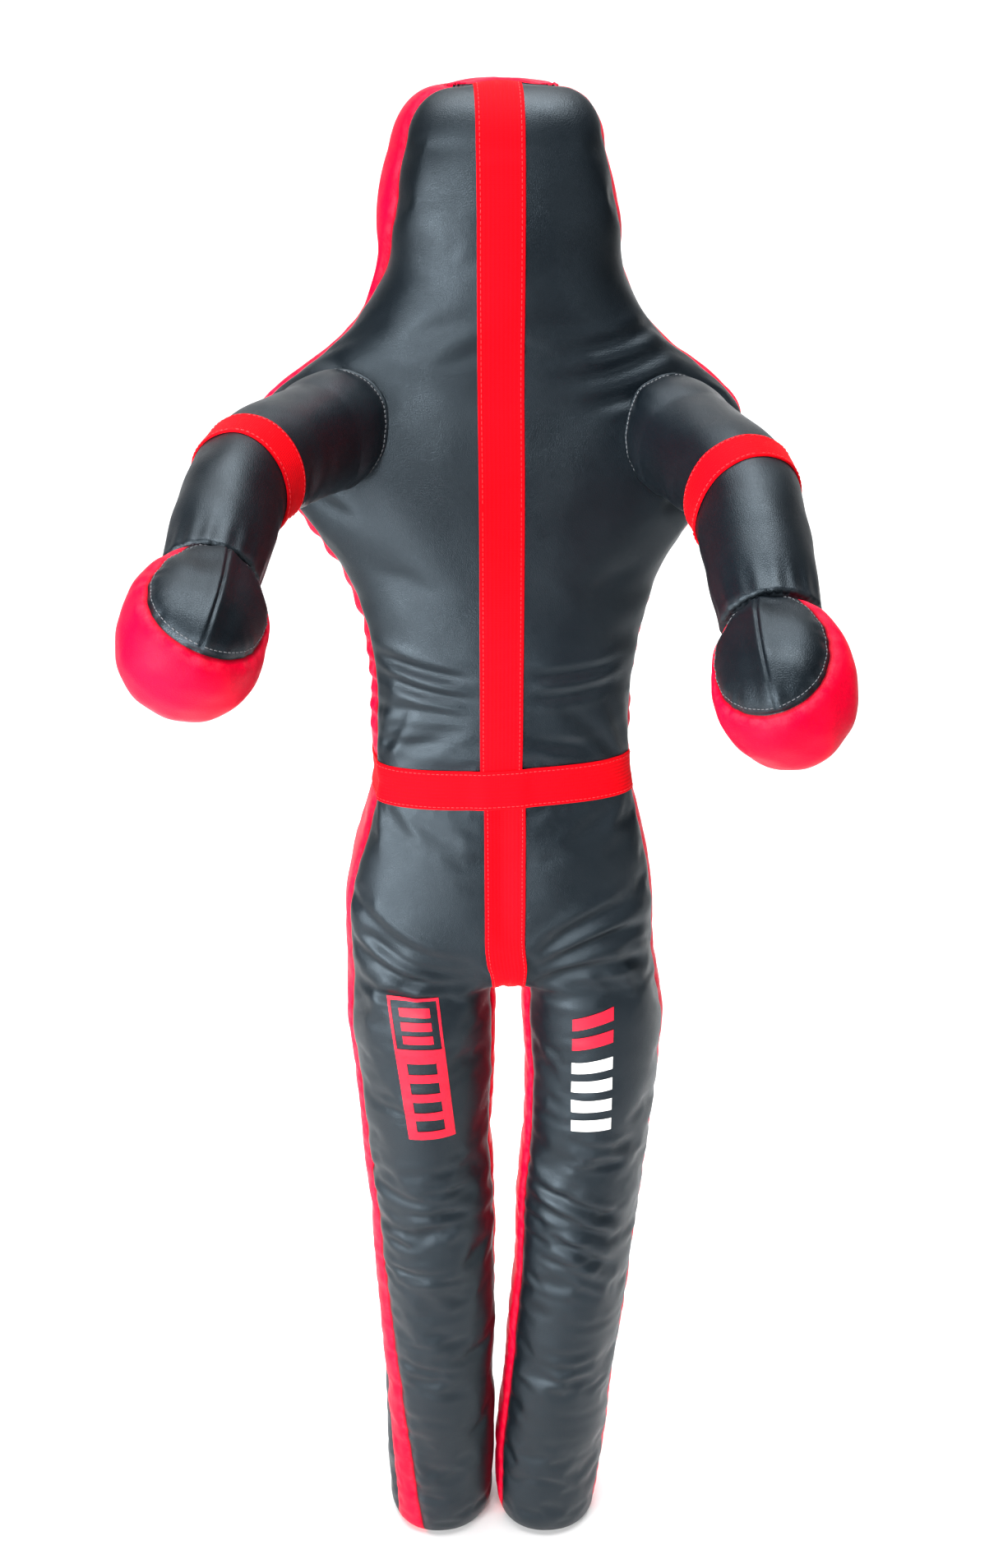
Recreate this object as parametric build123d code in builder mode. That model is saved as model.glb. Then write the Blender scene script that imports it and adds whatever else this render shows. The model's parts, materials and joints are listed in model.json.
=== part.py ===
from build123d import *

import os

# A life-size grappling dummy: a stuffed trunk, head, two legs and two forward-reaching arms in
# synthetic leather, with webbing straps. Millimetres, +Z up, the dummy faces -Y and stands at Z = 0.
# Left and right are the dummy's own: its left side is on +X.

# ---- Materials and clearances ----
VINYL = 2.0  # thickness of the synthetic leather
STUFFING_GAP = 0.6  # air between the stuffing and the leather around it
SEAM_GAP = 0.4  # air between two leather panels at a seam
BODY_GAP = 1.5  # air between two bodies of the dummy
WEBBING_WIDTH = 45.0
WEBBING_LIFT = 0.4  # air between the webbing and the leather under it
WEBBING_THICKNESS = 1.5

# ---- Where the trunk stands in the frame ----
TRUNK_X = 20.0
TRUNK_Y = 178.0

# ---- Outlines: height, centre X from the trunk line, half width, half depth ----
TRUNK = [
    (952, 4, 178, 97),
    (1010, 5, 168, 97),
    (1055, 7, 155, 96),
    (1095, 7, 145, 95),
    (1150, 5, 141, 95),
    (1215, 5, 139, 95),
    (1285, 7, 148, 97),
    (1345, 5, 167, 98),
    (1395, 4, 203, 98),
    (1450, 4, 237, 96),
    (1497, 5, 253, 88),
    (1520, 6, 238, 84),
    (1545, 8, 207, 84),
    (1570, 8, 168, 86),
    (1600, 8, 139, 89),
    (1640, 6, 121, 92),
    (1685, 3, 119, 94),
    (1730, 1, 112, 92),
    (1763, 1, 102, 84),
    (1782, 0, 88, 66),
    (1794, 0, 68, 44),
    (1800, 0, 42, 22),
]
RIGHT_LEG = [
    (0, -80, 57, 56),
    (5, -80, 65, 65),
    (22, -79, 71, 71),
    (110, -78, 72, 73),
    (250, -78, 74, 75),
    (400, -79, 78, 78),
    (520, -81, 79, 81),
    (620, -88, 80, 84),
    (720, -88, 85, 88),
    (790, -91, 89, 91),
]
LEFT_LEG = [
    (0, 67, 57, 56),
    (5, 67, 65, 65),
    (22, 68, 70, 71),
    (110, 73, 74, 73),
    (250, 85, 74, 75),
    (400, 99, 76, 78),
    (520, 106, 79, 81),
    (620, 114, 80, 84),
    (720, 118, 82, 88),
    (790, 118, 86, 91),
]

# ---- Pivots and the soft zones around them ----
NECK_Z = 1610.0
NECK_ZONE = 30.0
WAIST_Z = 1215.0
WAIST_ZONE = 45.0
HIP_Z = 870.0
HIP_ZONE = 80.0
KNEE_Z = 490.0
KNEE_ZONE = 62.0
SHOULDER_ZONE = 32.0  # each side of the shoulder pivot, along the upper arm
ELBOW_ZONE = 40.0  # each side of the elbow, along the arm

# ---- Panels and straps ----
TRUNK_SEAM = 42.0  # half width of the side gusset on the trunk and head
LEG_SEAM = 27.0  # half width of the side strips on the legs
BELT_LOW = 1095.0
BACK_STRAP_TOP = 1150.0  # behind, the centre strap comes up under the belt and ends there
ZIP_LOW = 1285.0
ZIP_HIGH = 1455.0
ZIP_WIDTH = 14.0
ZIP_THICKNESS = 2.0
BACK_DEPTH = 98.0  # from the trunk line to the back where the zip lies
SLIDER_GAP = 0.6  # air between the slider and the zip chain
SLIDER_SIZE = (11.0, 5.0, 15.0)
PULL_SIZE = (7.0, 1.6, 30.0)
PULL_DROP = 20.5  # the pull tab hangs this far below the slider

# ---- Crotch: a narrow stuffed web between the thighs ----
CROTCH_X = 15.0
CROTCH_WIDTH = 23.0
CROTCH_Z = 848.0
CROTCH_HALF_DEPTH = 97.0
CROTCH_ROUND = 45.0
CROTCH_STRAP_WIDTH = 20.0
CROTCH_STRAP_JOIN = 3.0  # the pinched strap overlaps the full-width strap by this much
HIP_CLEARANCE = 2.0  # extra air above the soft zone of the hips
THIGH_CLEARANCE = 4.5  # air between the crotch web and each thigh
HALF_PELVIS_DEPTH = 94.0

# ---- Arms: points on their centre lines, from the trunk line ----
SHOULDER_POINT = {"right": Vector(-160, -72, 1494), "left": Vector(172, -72, 1486)}
ELBOW_POINT = {"right": Vector(-240, -215, 1478), "left": Vector(213, -215, 1460)}
WRIST_POINT = {"right": Vector(-256, -330, 1419), "left": Vector(214, -330, 1375)}
SHOULDER_RADIUS = 57.0
UPPER_ARM_RADII = (56.0, 53.0)
ELBOW_RADIUS = 52.0
FOREARM_RADII = (49.0, 43.0)
SHOULDER_ROOT = 70.0  # the shoulder's soft zone starts this deep inside the chest, before it is trimmed
PIVOT_OUT = 30.0  # the shoulder pivot lies this far out along the upper arm
GLOVE_LENGTH = 140.0
GLOVE_RADIUS = 62.0
GLOVE_MOUTH_RADIUS = 45.0
GLOVE_PALM_SIDE = {"right": Vector(-0.42, -0.35, -0.84), "left": Vector(0.42, -0.35, -0.84)}
GLOVE_SEAM_AT = 8.0  # the palm seam passes this far below the glove's centre

BIG = 2000.0  # a block larger than the dummy, for cutting
WIDE = 500.0
TRUNK_POINT = Vector(TRUNK_X, TRUNK_Y, 0)

os.makedirs("parts", exist_ok=True)


def save(piece, node):
    """Labels a finished piece and writes it."""
    piece.label = node
    export_step(piece, f"parts/{node}.step")


def between(rows, low, high):
    """The outline's rows from low to high, with a row worked out at each end."""

    def row_at(z):
        for (z0, *first), (z1, *second) in zip(rows, rows[1:]):
            if z0 <= z <= z1:
                share = (z - z0) / (z1 - z0)
                return (z, *(a + share * (b - a) for a, b in zip(first, second)))

    inside = [row for row in rows if low < row[0] < high]
    return [row_at(low), *inside, row_at(high)]


def form(rows, grow=0.0):
    """A stuffed form lofted through one ellipse per row, each grown by the same amount."""
    with BuildPart() as stuffed:
        for z, x, half_width, half_depth in rows:
            with BuildSketch(Plane((TRUNK_X + x, TRUNK_Y, z))):
                Ellipse(half_width + grow, half_depth + grow)
        loft(ruled=True)
    return stuffed.part


def skin(rows, outer, inner, floor=0.0):
    """The layer of a form between two offsets. With a floor, the layer is closed below."""
    with BuildPart() as layer:
        add(form(rows, outer))
        low = rows[0][0] + floor
        add(form(between(rows, low, rows[-1][0]), inner), mode=Mode.SUBTRACT)
    return layer.part


def slab(y_low, y_high, x_low=-BIG, x_high=BIG, z_low=-BIG, z_high=BIG):
    """A block between limits measured from the trunk line, for cutting panels."""
    with BuildPart() as block:
        with BuildSketch(Plane.XY.offset(z_low)):
            with Locations((TRUNK_X + (x_low + x_high) / 2, TRUNK_Y + (y_low + y_high) / 2)):
                Rectangle(x_high - x_low, y_high - y_low)
        extrude(amount=z_high - z_low)
    return block.part


def stuffing(rows, low, high, node):
    """The filling of one section of the trunk or a leg."""
    with BuildPart() as filling:
        add(form(between(rows, low, high), -VINYL - STUFFING_GAP))
    save(filling.part, node)


def panels(rows, low, high, seam, names, floor=0.0):
    """Front panel, back panel and side strips of one section."""
    front, back, sides = names
    layer = skin(between(rows, low, high), 0.0, -VINYL, floor)
    edge = seam + SEAM_GAP / 2
    with BuildPart() as front_panel:
        add(layer)
        add(slab(-WIDE, -edge), mode=Mode.INTERSECT)
    save(front_panel.part, front)
    with BuildPart() as back_panel:
        add(layer)
        add(slab(edge, WIDE), mode=Mode.INTERSECT)
    save(back_panel.part, back)
    with BuildPart() as side_strips:
        add(layer)
        add(slab(-seam + SEAM_GAP / 2, seam - SEAM_GAP / 2), mode=Mode.INTERSECT)
    save(side_strips.part, sides)


def strap_along(rows, low, high, y_low, y_high):
    """Webbing down the middle of one section, lying on the leather of its front or back."""
    with BuildPart() as strap:
        add(skin(between(rows, low, high), WEBBING_LIFT + WEBBING_THICKNESS, WEBBING_LIFT))
        half = WEBBING_WIDTH / 2
        add(slab(y_low, y_high, -half, half), mode=Mode.INTERSECT)
    return strap.part


def fold(rows, low, high, node):
    """The soft zone of a joint, where leather and stuffing crumple together."""
    with BuildPart() as zone:
        add(form(between(rows, low + BODY_GAP, high - BODY_GAP)))
    save(zone.part, node)


# ---- Trunk and head ----
waist_low, waist_high = WAIST_Z - WAIST_ZONE, WAIST_Z + WAIST_ZONE
neck_low, neck_high = NECK_Z - NECK_ZONE, NECK_Z + NECK_ZONE
hips_low = HIP_Z + HIP_ZONE + HIP_CLEARANCE
head_top = TRUNK[-1][0]

with BuildPart() as crotch_web:
    with BuildSketch(Plane.YZ.offset(TRUNK_X + CROTCH_X)):
        with Locations((TRUNK_Y, CROTCH_Z + CROTCH_HALF_DEPTH)):
            RectangleRounded(2 * CROTCH_HALF_DEPTH, 2 * CROTCH_HALF_DEPTH, CROTCH_ROUND)
    extrude(amount=CROTCH_WIDTH / 2, both=True)
    add(slab(-WIDE, WIDE, z_high=hips_low + VINYL), mode=Mode.INTERSECT)

with BuildPart() as web_inside:
    add(crotch_web.part)
    web_half_depth = CROTCH_HALF_DEPTH - 2 * VINYL
    add(slab(-web_half_depth, web_half_depth), mode=Mode.INTERSECT)

with BuildPart() as hips_filling:
    add(form(between(TRUNK, hips_low, waist_low), -VINYL - STUFFING_GAP))
    add(web_inside.part)
save(hips_filling.part, "hips_filling")
panels(TRUNK, hips_low, waist_low, TRUNK_SEAM, ("hips_front_panel", "hips_back_panel", "hips_side_strips"))

strap_inner = CROTCH_HALF_DEPTH + WEBBING_LIFT
strap_outer = strap_inner + WEBBING_THICKNESS
with BuildPart() as crotch_strap:
    with BuildSketch(Plane.YZ.offset(TRUNK_X + CROTCH_X)):
        with Locations((TRUNK_Y, CROTCH_Z + CROTCH_HALF_DEPTH)):
            RectangleRounded(2 * strap_outer, 2 * strap_outer, CROTCH_ROUND + strap_outer - CROTCH_HALF_DEPTH)
            inner_round = CROTCH_ROUND + WEBBING_LIFT
            RectangleRounded(2 * strap_inner, 2 * strap_inner, inner_round, mode=Mode.SUBTRACT)
    extrude(amount=CROTCH_STRAP_WIDTH / 2, both=True)
    add(slab(-WIDE, WIDE, z_high=hips_low + CROTCH_STRAP_JOIN), mode=Mode.INTERSECT)

with BuildPart() as centre_strap_lower:
    add(strap_along(TRUNK, hips_low, waist_low, -WIDE, 0))
    add(strap_along(TRUNK, hips_low, BACK_STRAP_TOP, 0, WIDE))
    add(crotch_strap.part)
save(centre_strap_lower.part, "centre_strap_lower")

belt_inner = 2 * WEBBING_LIFT + WEBBING_THICKNESS
with BuildPart() as waist_belt:
    belt_rows = between(TRUNK, BELT_LOW, BELT_LOW + WEBBING_WIDTH)
    add(skin(belt_rows, belt_inner + WEBBING_THICKNESS, belt_inner))
save(waist_belt.part, "waist_belt")

fold(TRUNK, waist_low, waist_high, "waist_fold")
stuffing(TRUNK, waist_high, neck_low, "torso_filling")
panels(
    TRUNK, waist_high, neck_low, TRUNK_SEAM, ("torso_front_panel", "torso_back_panel", "torso_side_strips")
)
with BuildPart() as centre_strap_upper:
    add(strap_along(TRUNK, waist_high, neck_low, -WIDE, 0))
save(centre_strap_upper.part, "centre_strap_upper")

fold(TRUNK, neck_low, neck_high, "neck_fold")
stuffing(TRUNK, neck_high, head_top - VINYL - STUFFING_GAP, "head_filling")
with BuildPart() as head_layer:
    add(form(between(TRUNK, neck_high, head_top)))
    add(form(between(TRUNK, neck_high, head_top - VINYL), -VINYL), mode=Mode.SUBTRACT)
head_edge = TRUNK_SEAM + SEAM_GAP / 2
with BuildPart() as head_front_panel:
    add(head_layer.part)
    add(slab(-WIDE, -head_edge), mode=Mode.INTERSECT)
save(head_front_panel.part, "head_front_panel")
with BuildPart() as head_back_panel:
    add(head_layer.part)
    add(slab(head_edge, WIDE), mode=Mode.INTERSECT)
save(head_back_panel.part, "head_back_panel")
with BuildPart() as head_gusset:
    add(head_layer.part)
    add(slab(SEAM_GAP / 2 - TRUNK_SEAM, TRUNK_SEAM - SEAM_GAP / 2), mode=Mode.INTERSECT)
save(head_gusset.part, "head_gusset")
with BuildPart() as head_strap:
    add(strap_along(TRUNK, neck_high, head_top - VINYL, -WIDE, 0))
save(head_strap.part, "head_strap")

# ---- Stuffing zip up the middle of the back, and its slider ----
chain_outer = WEBBING_LIFT + ZIP_THICKNESS
with BuildPart() as back_zip_chain:
    add(skin(between(TRUNK, ZIP_LOW, ZIP_HIGH), chain_outer, WEBBING_LIFT))
    add(slab(0, WIDE, -ZIP_WIDTH / 2, ZIP_WIDTH / 2), mode=Mode.INTERSECT)
save(back_zip_chain.part, "back_zip_chain")

slider_width, slider_depth, slider_height = SLIDER_SIZE
pull_width, pull_depth, pull_height = PULL_SIZE
slider_y = TRUNK_Y + BACK_DEPTH + chain_outer + SLIDER_GAP
with BuildPart() as zip_slider:
    with BuildSketch(Plane((TRUNK_X, slider_y + slider_depth / 2, ZIP_LOW))):
        RectangleRounded(slider_width, slider_depth, slider_width / 8)
    extrude(amount=slider_height)
    with BuildSketch(Plane((TRUNK_X, slider_y + slider_depth - pull_depth / 2, ZIP_LOW - PULL_DROP))):
        RectangleRounded(pull_width, pull_depth, pull_depth / 3)
    extrude(amount=pull_height)
save(zip_slider.part, "zip_slider")

# ---- Legs ----
for side, leg in (("right", RIGHT_LEG), ("left", LEFT_LEG)):
    knee_low, knee_high = KNEE_Z - KNEE_ZONE, KNEE_Z + KNEE_ZONE
    thigh_top = HIP_Z - HIP_ZONE
    stuffing(leg, knee_high, thigh_top, f"{side}_thigh_filling")
    thigh_names = (f"{side}_thigh_front_panel", f"{side}_thigh_back_panel", f"{side}_thigh_side_strips")
    panels(leg, knee_high, thigh_top, LEG_SEAM, thigh_names)
    fold(leg, knee_low, knee_high, f"{side}_knee_fold")
    stuffing(leg, VINYL + STUFFING_GAP, knee_low, f"{side}_shin_filling")
    shin_names = (f"{side}_shin_front_panel", f"{side}_shin_back_panel", f"{side}_shin_side_strip")
    panels(leg, 0.0, knee_low, LEG_SEAM, shin_names, floor=VINYL)

    # The soft zone of the hip runs from half of the pelvis down to the round thigh.
    outward = 1 if side == "left" else -1
    inner_edge = CROTCH_X + outward * (CROTCH_WIDTH / 2 + THIGH_CLEARANCE)
    outer_edge = TRUNK[0][1] + outward * TRUNK[0][2]
    half_width = abs(outer_edge - inner_edge) / 2
    half_pelvis = (hips_low, (inner_edge + outer_edge) / 2, half_width, HALF_PELVIS_DEPTH)
    fold([leg[-1], half_pelvis], thigh_top, hips_low, f"{side}_hip_fold")

# ---- Arms ----
chest = form(between(TRUNK, waist_high, neck_low), STUFFING_GAP)


def tube(stations, grow=0.0):
    """A stuffed tube lofted through circles: each station is a point, a direction and a radius."""
    with BuildPart() as stuffed:
        for point, direction, radius in stations:
            with BuildSketch(Plane(origin=point, z_dir=direction)):
                Circle(radius + grow)
        loft()
    return stuffed.part


def glove_form(start, direction, grow=0.0):
    """A ball glove turned about the arm's line, from the wrist seam to its round end."""
    across = direction.cross(Vector(0, 0, 1)).normalized()
    with BuildPart() as ball:
        with BuildSketch(Plane(origin=start, x_dir=direction, z_dir=across)):
            with BuildLine():
                wrist = (0, GLOVE_MOUTH_RADIUS + grow)
                outline = Spline(
                    wrist,
                    (0.17 * GLOVE_LENGTH, 0.89 * GLOVE_RADIUS + grow),
                    (0.5 * GLOVE_LENGTH, GLOVE_RADIUS + grow),
                    (0.84 * GLOVE_LENGTH, 0.7 * GLOVE_RADIUS + grow),
                    (GLOVE_LENGTH + grow, 0),
                    tangents=[(1, 0.55), (0, -1)],
                )
                Line(outline @ 1, (0, 0))
                Line((0, 0), wrist)
            make_face()
        revolve(axis=Axis(start, direction))
    return ball.part


for side in ("right", "left"):
    shoulder = SHOULDER_POINT[side] + TRUNK_POINT
    elbow = ELBOW_POINT[side] + TRUNK_POINT
    wrist_point = WRIST_POINT[side] + TRUNK_POINT
    upper = (elbow - shoulder).normalized()
    lower = (wrist_point - elbow).normalized()
    upper_start = PIVOT_OUT + SHOULDER_ZONE

    upper_stations = [
        (shoulder + upper * upper_start, upper, UPPER_ARM_RADII[0]),
        (elbow - upper * ELBOW_ZONE, upper, UPPER_ARM_RADII[1]),
    ]
    fore_stations = [
        (elbow + lower * ELBOW_ZONE, lower, FOREARM_RADII[0]),
        (wrist_point - lower * BODY_GAP, lower, FOREARM_RADII[1]),
    ]

    with BuildPart() as upper_arm_filling:
        add(tube(upper_stations, -VINYL - STUFFING_GAP))
    save(upper_arm_filling.part, f"{side}_upper_arm_filling")
    with BuildPart() as upper_arm_cover:
        add(tube(upper_stations))
        add(tube(upper_stations, -VINYL), mode=Mode.SUBTRACT)
    save(upper_arm_cover.part, f"{side}_upper_arm_cover")
    with BuildPart() as forearm_filling:
        add(tube(fore_stations, -VINYL - STUFFING_GAP))
    save(forearm_filling.part, f"{side}_forearm_filling")
    with BuildPart() as forearm_cover:
        add(tube(fore_stations))
        add(tube(fore_stations, -VINYL), mode=Mode.SUBTRACT)
    save(forearm_cover.part, f"{side}_forearm_cover")

    with BuildPart() as shoulder_fold:
        root = (shoulder - upper * SHOULDER_ROOT, upper, SHOULDER_RADIUS)
        end = (shoulder + upper * (upper_start - BODY_GAP), upper, UPPER_ARM_RADII[0])
        add(tube([root, end]))
        add(chest, mode=Mode.SUBTRACT)
        add(slab(-WIDE, 0), mode=Mode.INTERSECT)
    save(shoulder_fold.part, f"{side}_shoulder_fold")

    middle = (upper + lower).normalized()
    fold_stations = [
        (elbow - upper * (ELBOW_ZONE - BODY_GAP), upper, UPPER_ARM_RADII[1]),
        (elbow, middle, ELBOW_RADIUS),
        (elbow + lower * (ELBOW_ZONE - BODY_GAP), lower, FOREARM_RADII[0]),
    ]
    with BuildPart() as elbow_fold:
        add(tube(fold_stations))
    save(elbow_fold.part, f"{side}_elbow_fold")
    with BuildPart() as band_slice:
        with BuildSketch(Plane(origin=elbow, z_dir=middle)):
            Circle(2 * ELBOW_RADIUS)
        extrude(amount=WEBBING_WIDTH / 2, both=True)
    with BuildPart() as elbow_band:
        add(tube(fold_stations, WEBBING_LIFT + WEBBING_THICKNESS))
        add(tube(fold_stations, WEBBING_LIFT), mode=Mode.SUBTRACT)
        add(band_slice.part, mode=Mode.INTERSECT)
    save(elbow_band.part, f"{side}_elbow_band")

    glove_skin = glove_form(wrist_point, lower)
    with BuildPart() as glove_filling:
        add(glove_form(wrist_point + lower * (VINYL + STUFFING_GAP), lower, -VINYL - STUFFING_GAP))
    save(glove_filling.part, f"{side}_glove_filling")

    palm_side = GLOVE_PALM_SIDE[side].normalized()
    palm_side = (palm_side - lower * palm_side.dot(lower) * 0.5).normalized()
    centre = wrist_point + lower * (GLOVE_LENGTH / 2)
    seam_plane = Plane(origin=centre + palm_side * GLOVE_SEAM_AT, z_dir=palm_side)
    with BuildPart() as glove_layer:
        add(glove_skin)
        add(glove_form(wrist_point + lower * VINYL, lower, -VINYL), mode=Mode.SUBTRACT)
    with BuildPart() as glove_palm:
        add(glove_layer.part)
        split(bisect_by=seam_plane.offset(SEAM_GAP / 2), keep=Keep.TOP)
    save(glove_palm.part, f"{side}_glove_palm")
    with BuildPart() as centre_seam:
        with BuildSketch(Plane(origin=centre, x_dir=lower, z_dir=palm_side.cross(lower))):
            Rectangle(WIDE, WIDE)
        extrude(amount=SEAM_GAP / 2, both=True)
    with BuildPart() as glove_back_panels:
        add(glove_layer.part)
        split(bisect_by=seam_plane.offset(-SEAM_GAP / 2), keep=Keep.BOTTOM)
        add(centre_seam.part, mode=Mode.SUBTRACT)
    save(glove_back_panels.part, f"{side}_glove_back_panels")
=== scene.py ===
"""The looks of the grappling dummy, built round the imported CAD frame. Metres, +Z up, facing -Y."""

import json
import math

import bmesh
import bpy
import numpy as np
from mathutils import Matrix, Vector
from mathutils.bvhtree import BVHTree


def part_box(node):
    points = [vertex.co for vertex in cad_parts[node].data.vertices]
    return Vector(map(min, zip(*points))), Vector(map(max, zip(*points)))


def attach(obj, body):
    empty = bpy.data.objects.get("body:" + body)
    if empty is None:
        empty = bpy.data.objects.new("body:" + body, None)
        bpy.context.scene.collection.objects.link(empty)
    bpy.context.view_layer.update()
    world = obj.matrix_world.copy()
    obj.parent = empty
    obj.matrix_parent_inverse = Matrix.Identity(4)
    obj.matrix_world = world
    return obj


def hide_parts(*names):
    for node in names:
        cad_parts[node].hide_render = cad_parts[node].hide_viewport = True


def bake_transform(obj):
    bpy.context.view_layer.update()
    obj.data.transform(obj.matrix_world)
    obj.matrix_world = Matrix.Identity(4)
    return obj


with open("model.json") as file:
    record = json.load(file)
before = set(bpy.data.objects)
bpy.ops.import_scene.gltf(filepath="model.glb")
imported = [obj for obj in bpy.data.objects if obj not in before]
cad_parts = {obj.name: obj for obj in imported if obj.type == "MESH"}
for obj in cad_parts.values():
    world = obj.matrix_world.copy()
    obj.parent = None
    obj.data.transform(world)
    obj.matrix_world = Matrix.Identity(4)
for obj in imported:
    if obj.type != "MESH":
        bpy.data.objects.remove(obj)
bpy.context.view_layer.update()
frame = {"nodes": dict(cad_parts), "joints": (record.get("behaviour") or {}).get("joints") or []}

# ---- Driving sizes, metres ----
ROW_STEP = 0.0065  # spacing of the rings of the trunk and legs
DENSE = 48  # points of one curve before it is spaced evenly
TRUNK_COUNTS = (76, 14, 76, 14)  # columns of the front, left strip, back and right strip
HALF_COUNTS = (42, 10, 42, 10)  # columns of the front, inner strip, back and outer strip
TRUNK_SEAM = 0.040  # half width of the side gusset of trunk and head
CROWN_SEAM = 0.033  # half width of the gusset over the crown
CROWN_LEDGE = 0.004  # how far the dome's front stays ahead of that gusset
CROWN_RISE = 0.055
CROWN_ROWS = 18
CROWN_HALF_WIDTH = 0.060
CROWN_GUSSET_RISE = 0.0070
HEAD_TAPER_FROM = 1.665  # the head narrows from here up to its crown
HEAD_TAPER = {"right": 0.17, "left": 0.08}
SHOULDER_WRAP = 0.030  # how much further round the front and back panels reach over the shoulders
LEG_SEAM = 0.024  # half width of the leg's side strips
BULGE_Z = (0.85, 1.07, 1.14, 1.45, 1.54, 1.60, 1.645, 1.70, 1.745, 1.775)
GUSSET_BULGE = {  # how far the gusset bulges past the front panel's edge at those heights
    "right": (0.001, 0.002, 0.003, 0.004, 0.001, 0.000, 0.011, 0.017, 0.013, 0.006),
    "left": (0.001, 0.001, 0.001, 0.001, 0.003, 0.001, 0.003, 0.004, 0.003, 0.002),
}
PANEL_POWER = 2.35  # how boxy the stuffed sections are
TRUNK_STUFFING = (2.6, 0.006, 0.008)  # pressure, slack of the leather, largest move
HALF_STUFFING = (2.6, 0.007, 0.007)
HALF_SEED = {"right": 5, "left": 8}
SEAM_GROOVE = 0.0032
SEAM_WIDTH = 0.0075
WEBBING = 0.045  # width of the strap and the belt
WEBBING_THICK = 0.0016
RIB_PITCH, CORD_PITCH, STRIPE_PITCH = 0.0017, 0.0022, 0.0041  # of the webbing's weave
STITCH_COLUMNS = (1, -2)  # the columns of a webbing grid that carry its two rows of stitches
BELT_TILT = 0.020
TWIST_Z = (0.0, 0.25, 0.45, 0.70, 0.85)
LEG_TWIST = {"right": (50, 25, 11, 3, 0), "left": (0, 2, 2, 2, 0)}  # degrees at those heights
FOOT_FORWARD = {"right": 0.010, "left": 0.020}  # how far the stuffed foot swings forward
SPLIT_CHEST = 1.420  # where the leather is cut between two pieces
SPLIT_THIGH = 0.660
SOLE_Z = 0.0003
SOLE_SHARES = (0.0, 0.16, 0.36, 0.58, 0.8, 1.0)  # rings of the sole, from its rim to its middle strip
NO_SEAM = (0.02, 9)  # seam distance and number of points that lie by no seam
CROTCH_TOP = 0.891
CROTCH_LOW = 0.852
WEB_CENTRE = 0.013  # where the halves meet at the crotch, from the trunk line
INNER_TOP = 0.925  # above this the two halves meet, and their inner strips are left out
CROTCH_STRAP_Z = 0.872
CROTCH_STRAP_WIDTH = 0.031
CROTCH_STRAP_SHIFT = 0.010
BELT_CINCH = 0.0022
SCALLOP_PITCH = 0.024
SCALLOP_DEPTH = 0.0045
ZIP_MIDDLE = 1.37
ZIP_HALF_WIDTH = 0.014
ARM_STEP = 0.005
ARM_COLUMNS = 72
LEAD_ROWS = 13  # rings between the chest and the arm's first clean ring
ARM_BASE = 0.040  # the arm is a clean tube from here on, and is trimmed to the chest before it
ARM_RADII = {  # at the chest, above the elbow, at it and inside the glove
    "right": (0.0535, 0.0495, 0.0480, 0.0405),
    "left": (0.0535, 0.0500, 0.0505, 0.0445),
}
PIVOT_OUT = 0.030  # from the shoulder seam's centre to the shoulder pivot
SHOULDER_ZONE = 0.030
ELBOW_ROUND = 0.050
ELBOW_ZONE = 0.040
ELBOW_CREASE = 0.0026
UPPER_SPLIT = 0.55  # where the sleeve is cut, as a share of the upper arm
BAND_WIDTH = 0.033
BAND_DROP = {"right": -0.004, "left": 0.007}  # how far the elbow band sits towards the glove
BAND_LEAN = 0.25  # 0 for a band square to the upper arm, 1 for one square to the bend
GLOVE_POWER = 2.25  # how boxy the gloves are
GLOVE_RADIUS = 0.0585
GLOVE_NOSE = 0.0680
GLOVE_HEEL = 0.0840
GLOVE_MOUTH_AT = 0.0660
GLOVE_COLLAR = {"right": 0.0412, "left": 0.0450}
PALM_SEAM_ANGLE = math.radians(121)
PALM_STITCH_OFFSET = 0.085  # radians from the seam, on the black side
GLOVE_PALM = {"right": (-0.47, 0.33, -0.81), "left": (0.47, 0.37, -0.80)}
CAMERA_AT = (-0.0785, -1.329, 1.713)
CAMERA_AIM = (0.020, 0.080, 1.125)
LIGHTS = [  # name, place, aim, size, power, spread in degrees
    ("window", (-2.0, -1.6, 1.05), (0, 0.15, 0.95), (0.9, 1.9), 27, 75),
    ("key", (-1.0, -3.0, 2.7), (0, 0.1, 1.2), (1.1, 1.1), 10.5, 60),
    ("fill", (2.5, -2.3, 1.5), (0, 0.1, 1.1), (0.8, 2.2), 3, 75),
    ("top", (0.0, 1.1, 4.4), (0, 1.1, 0.0), (4.5, 3.2), 74, 72),
    ("wall", (0.3, -0.6, 5.0), (0.3, 3.2, 1.2), (3.4, 1.0), 84, 110),
    ("low", (-0.75, -1.75, 0.35), (-0.05, 0.10, 0.95), (0.9, 0.5), 3.4, 60),
]

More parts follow.
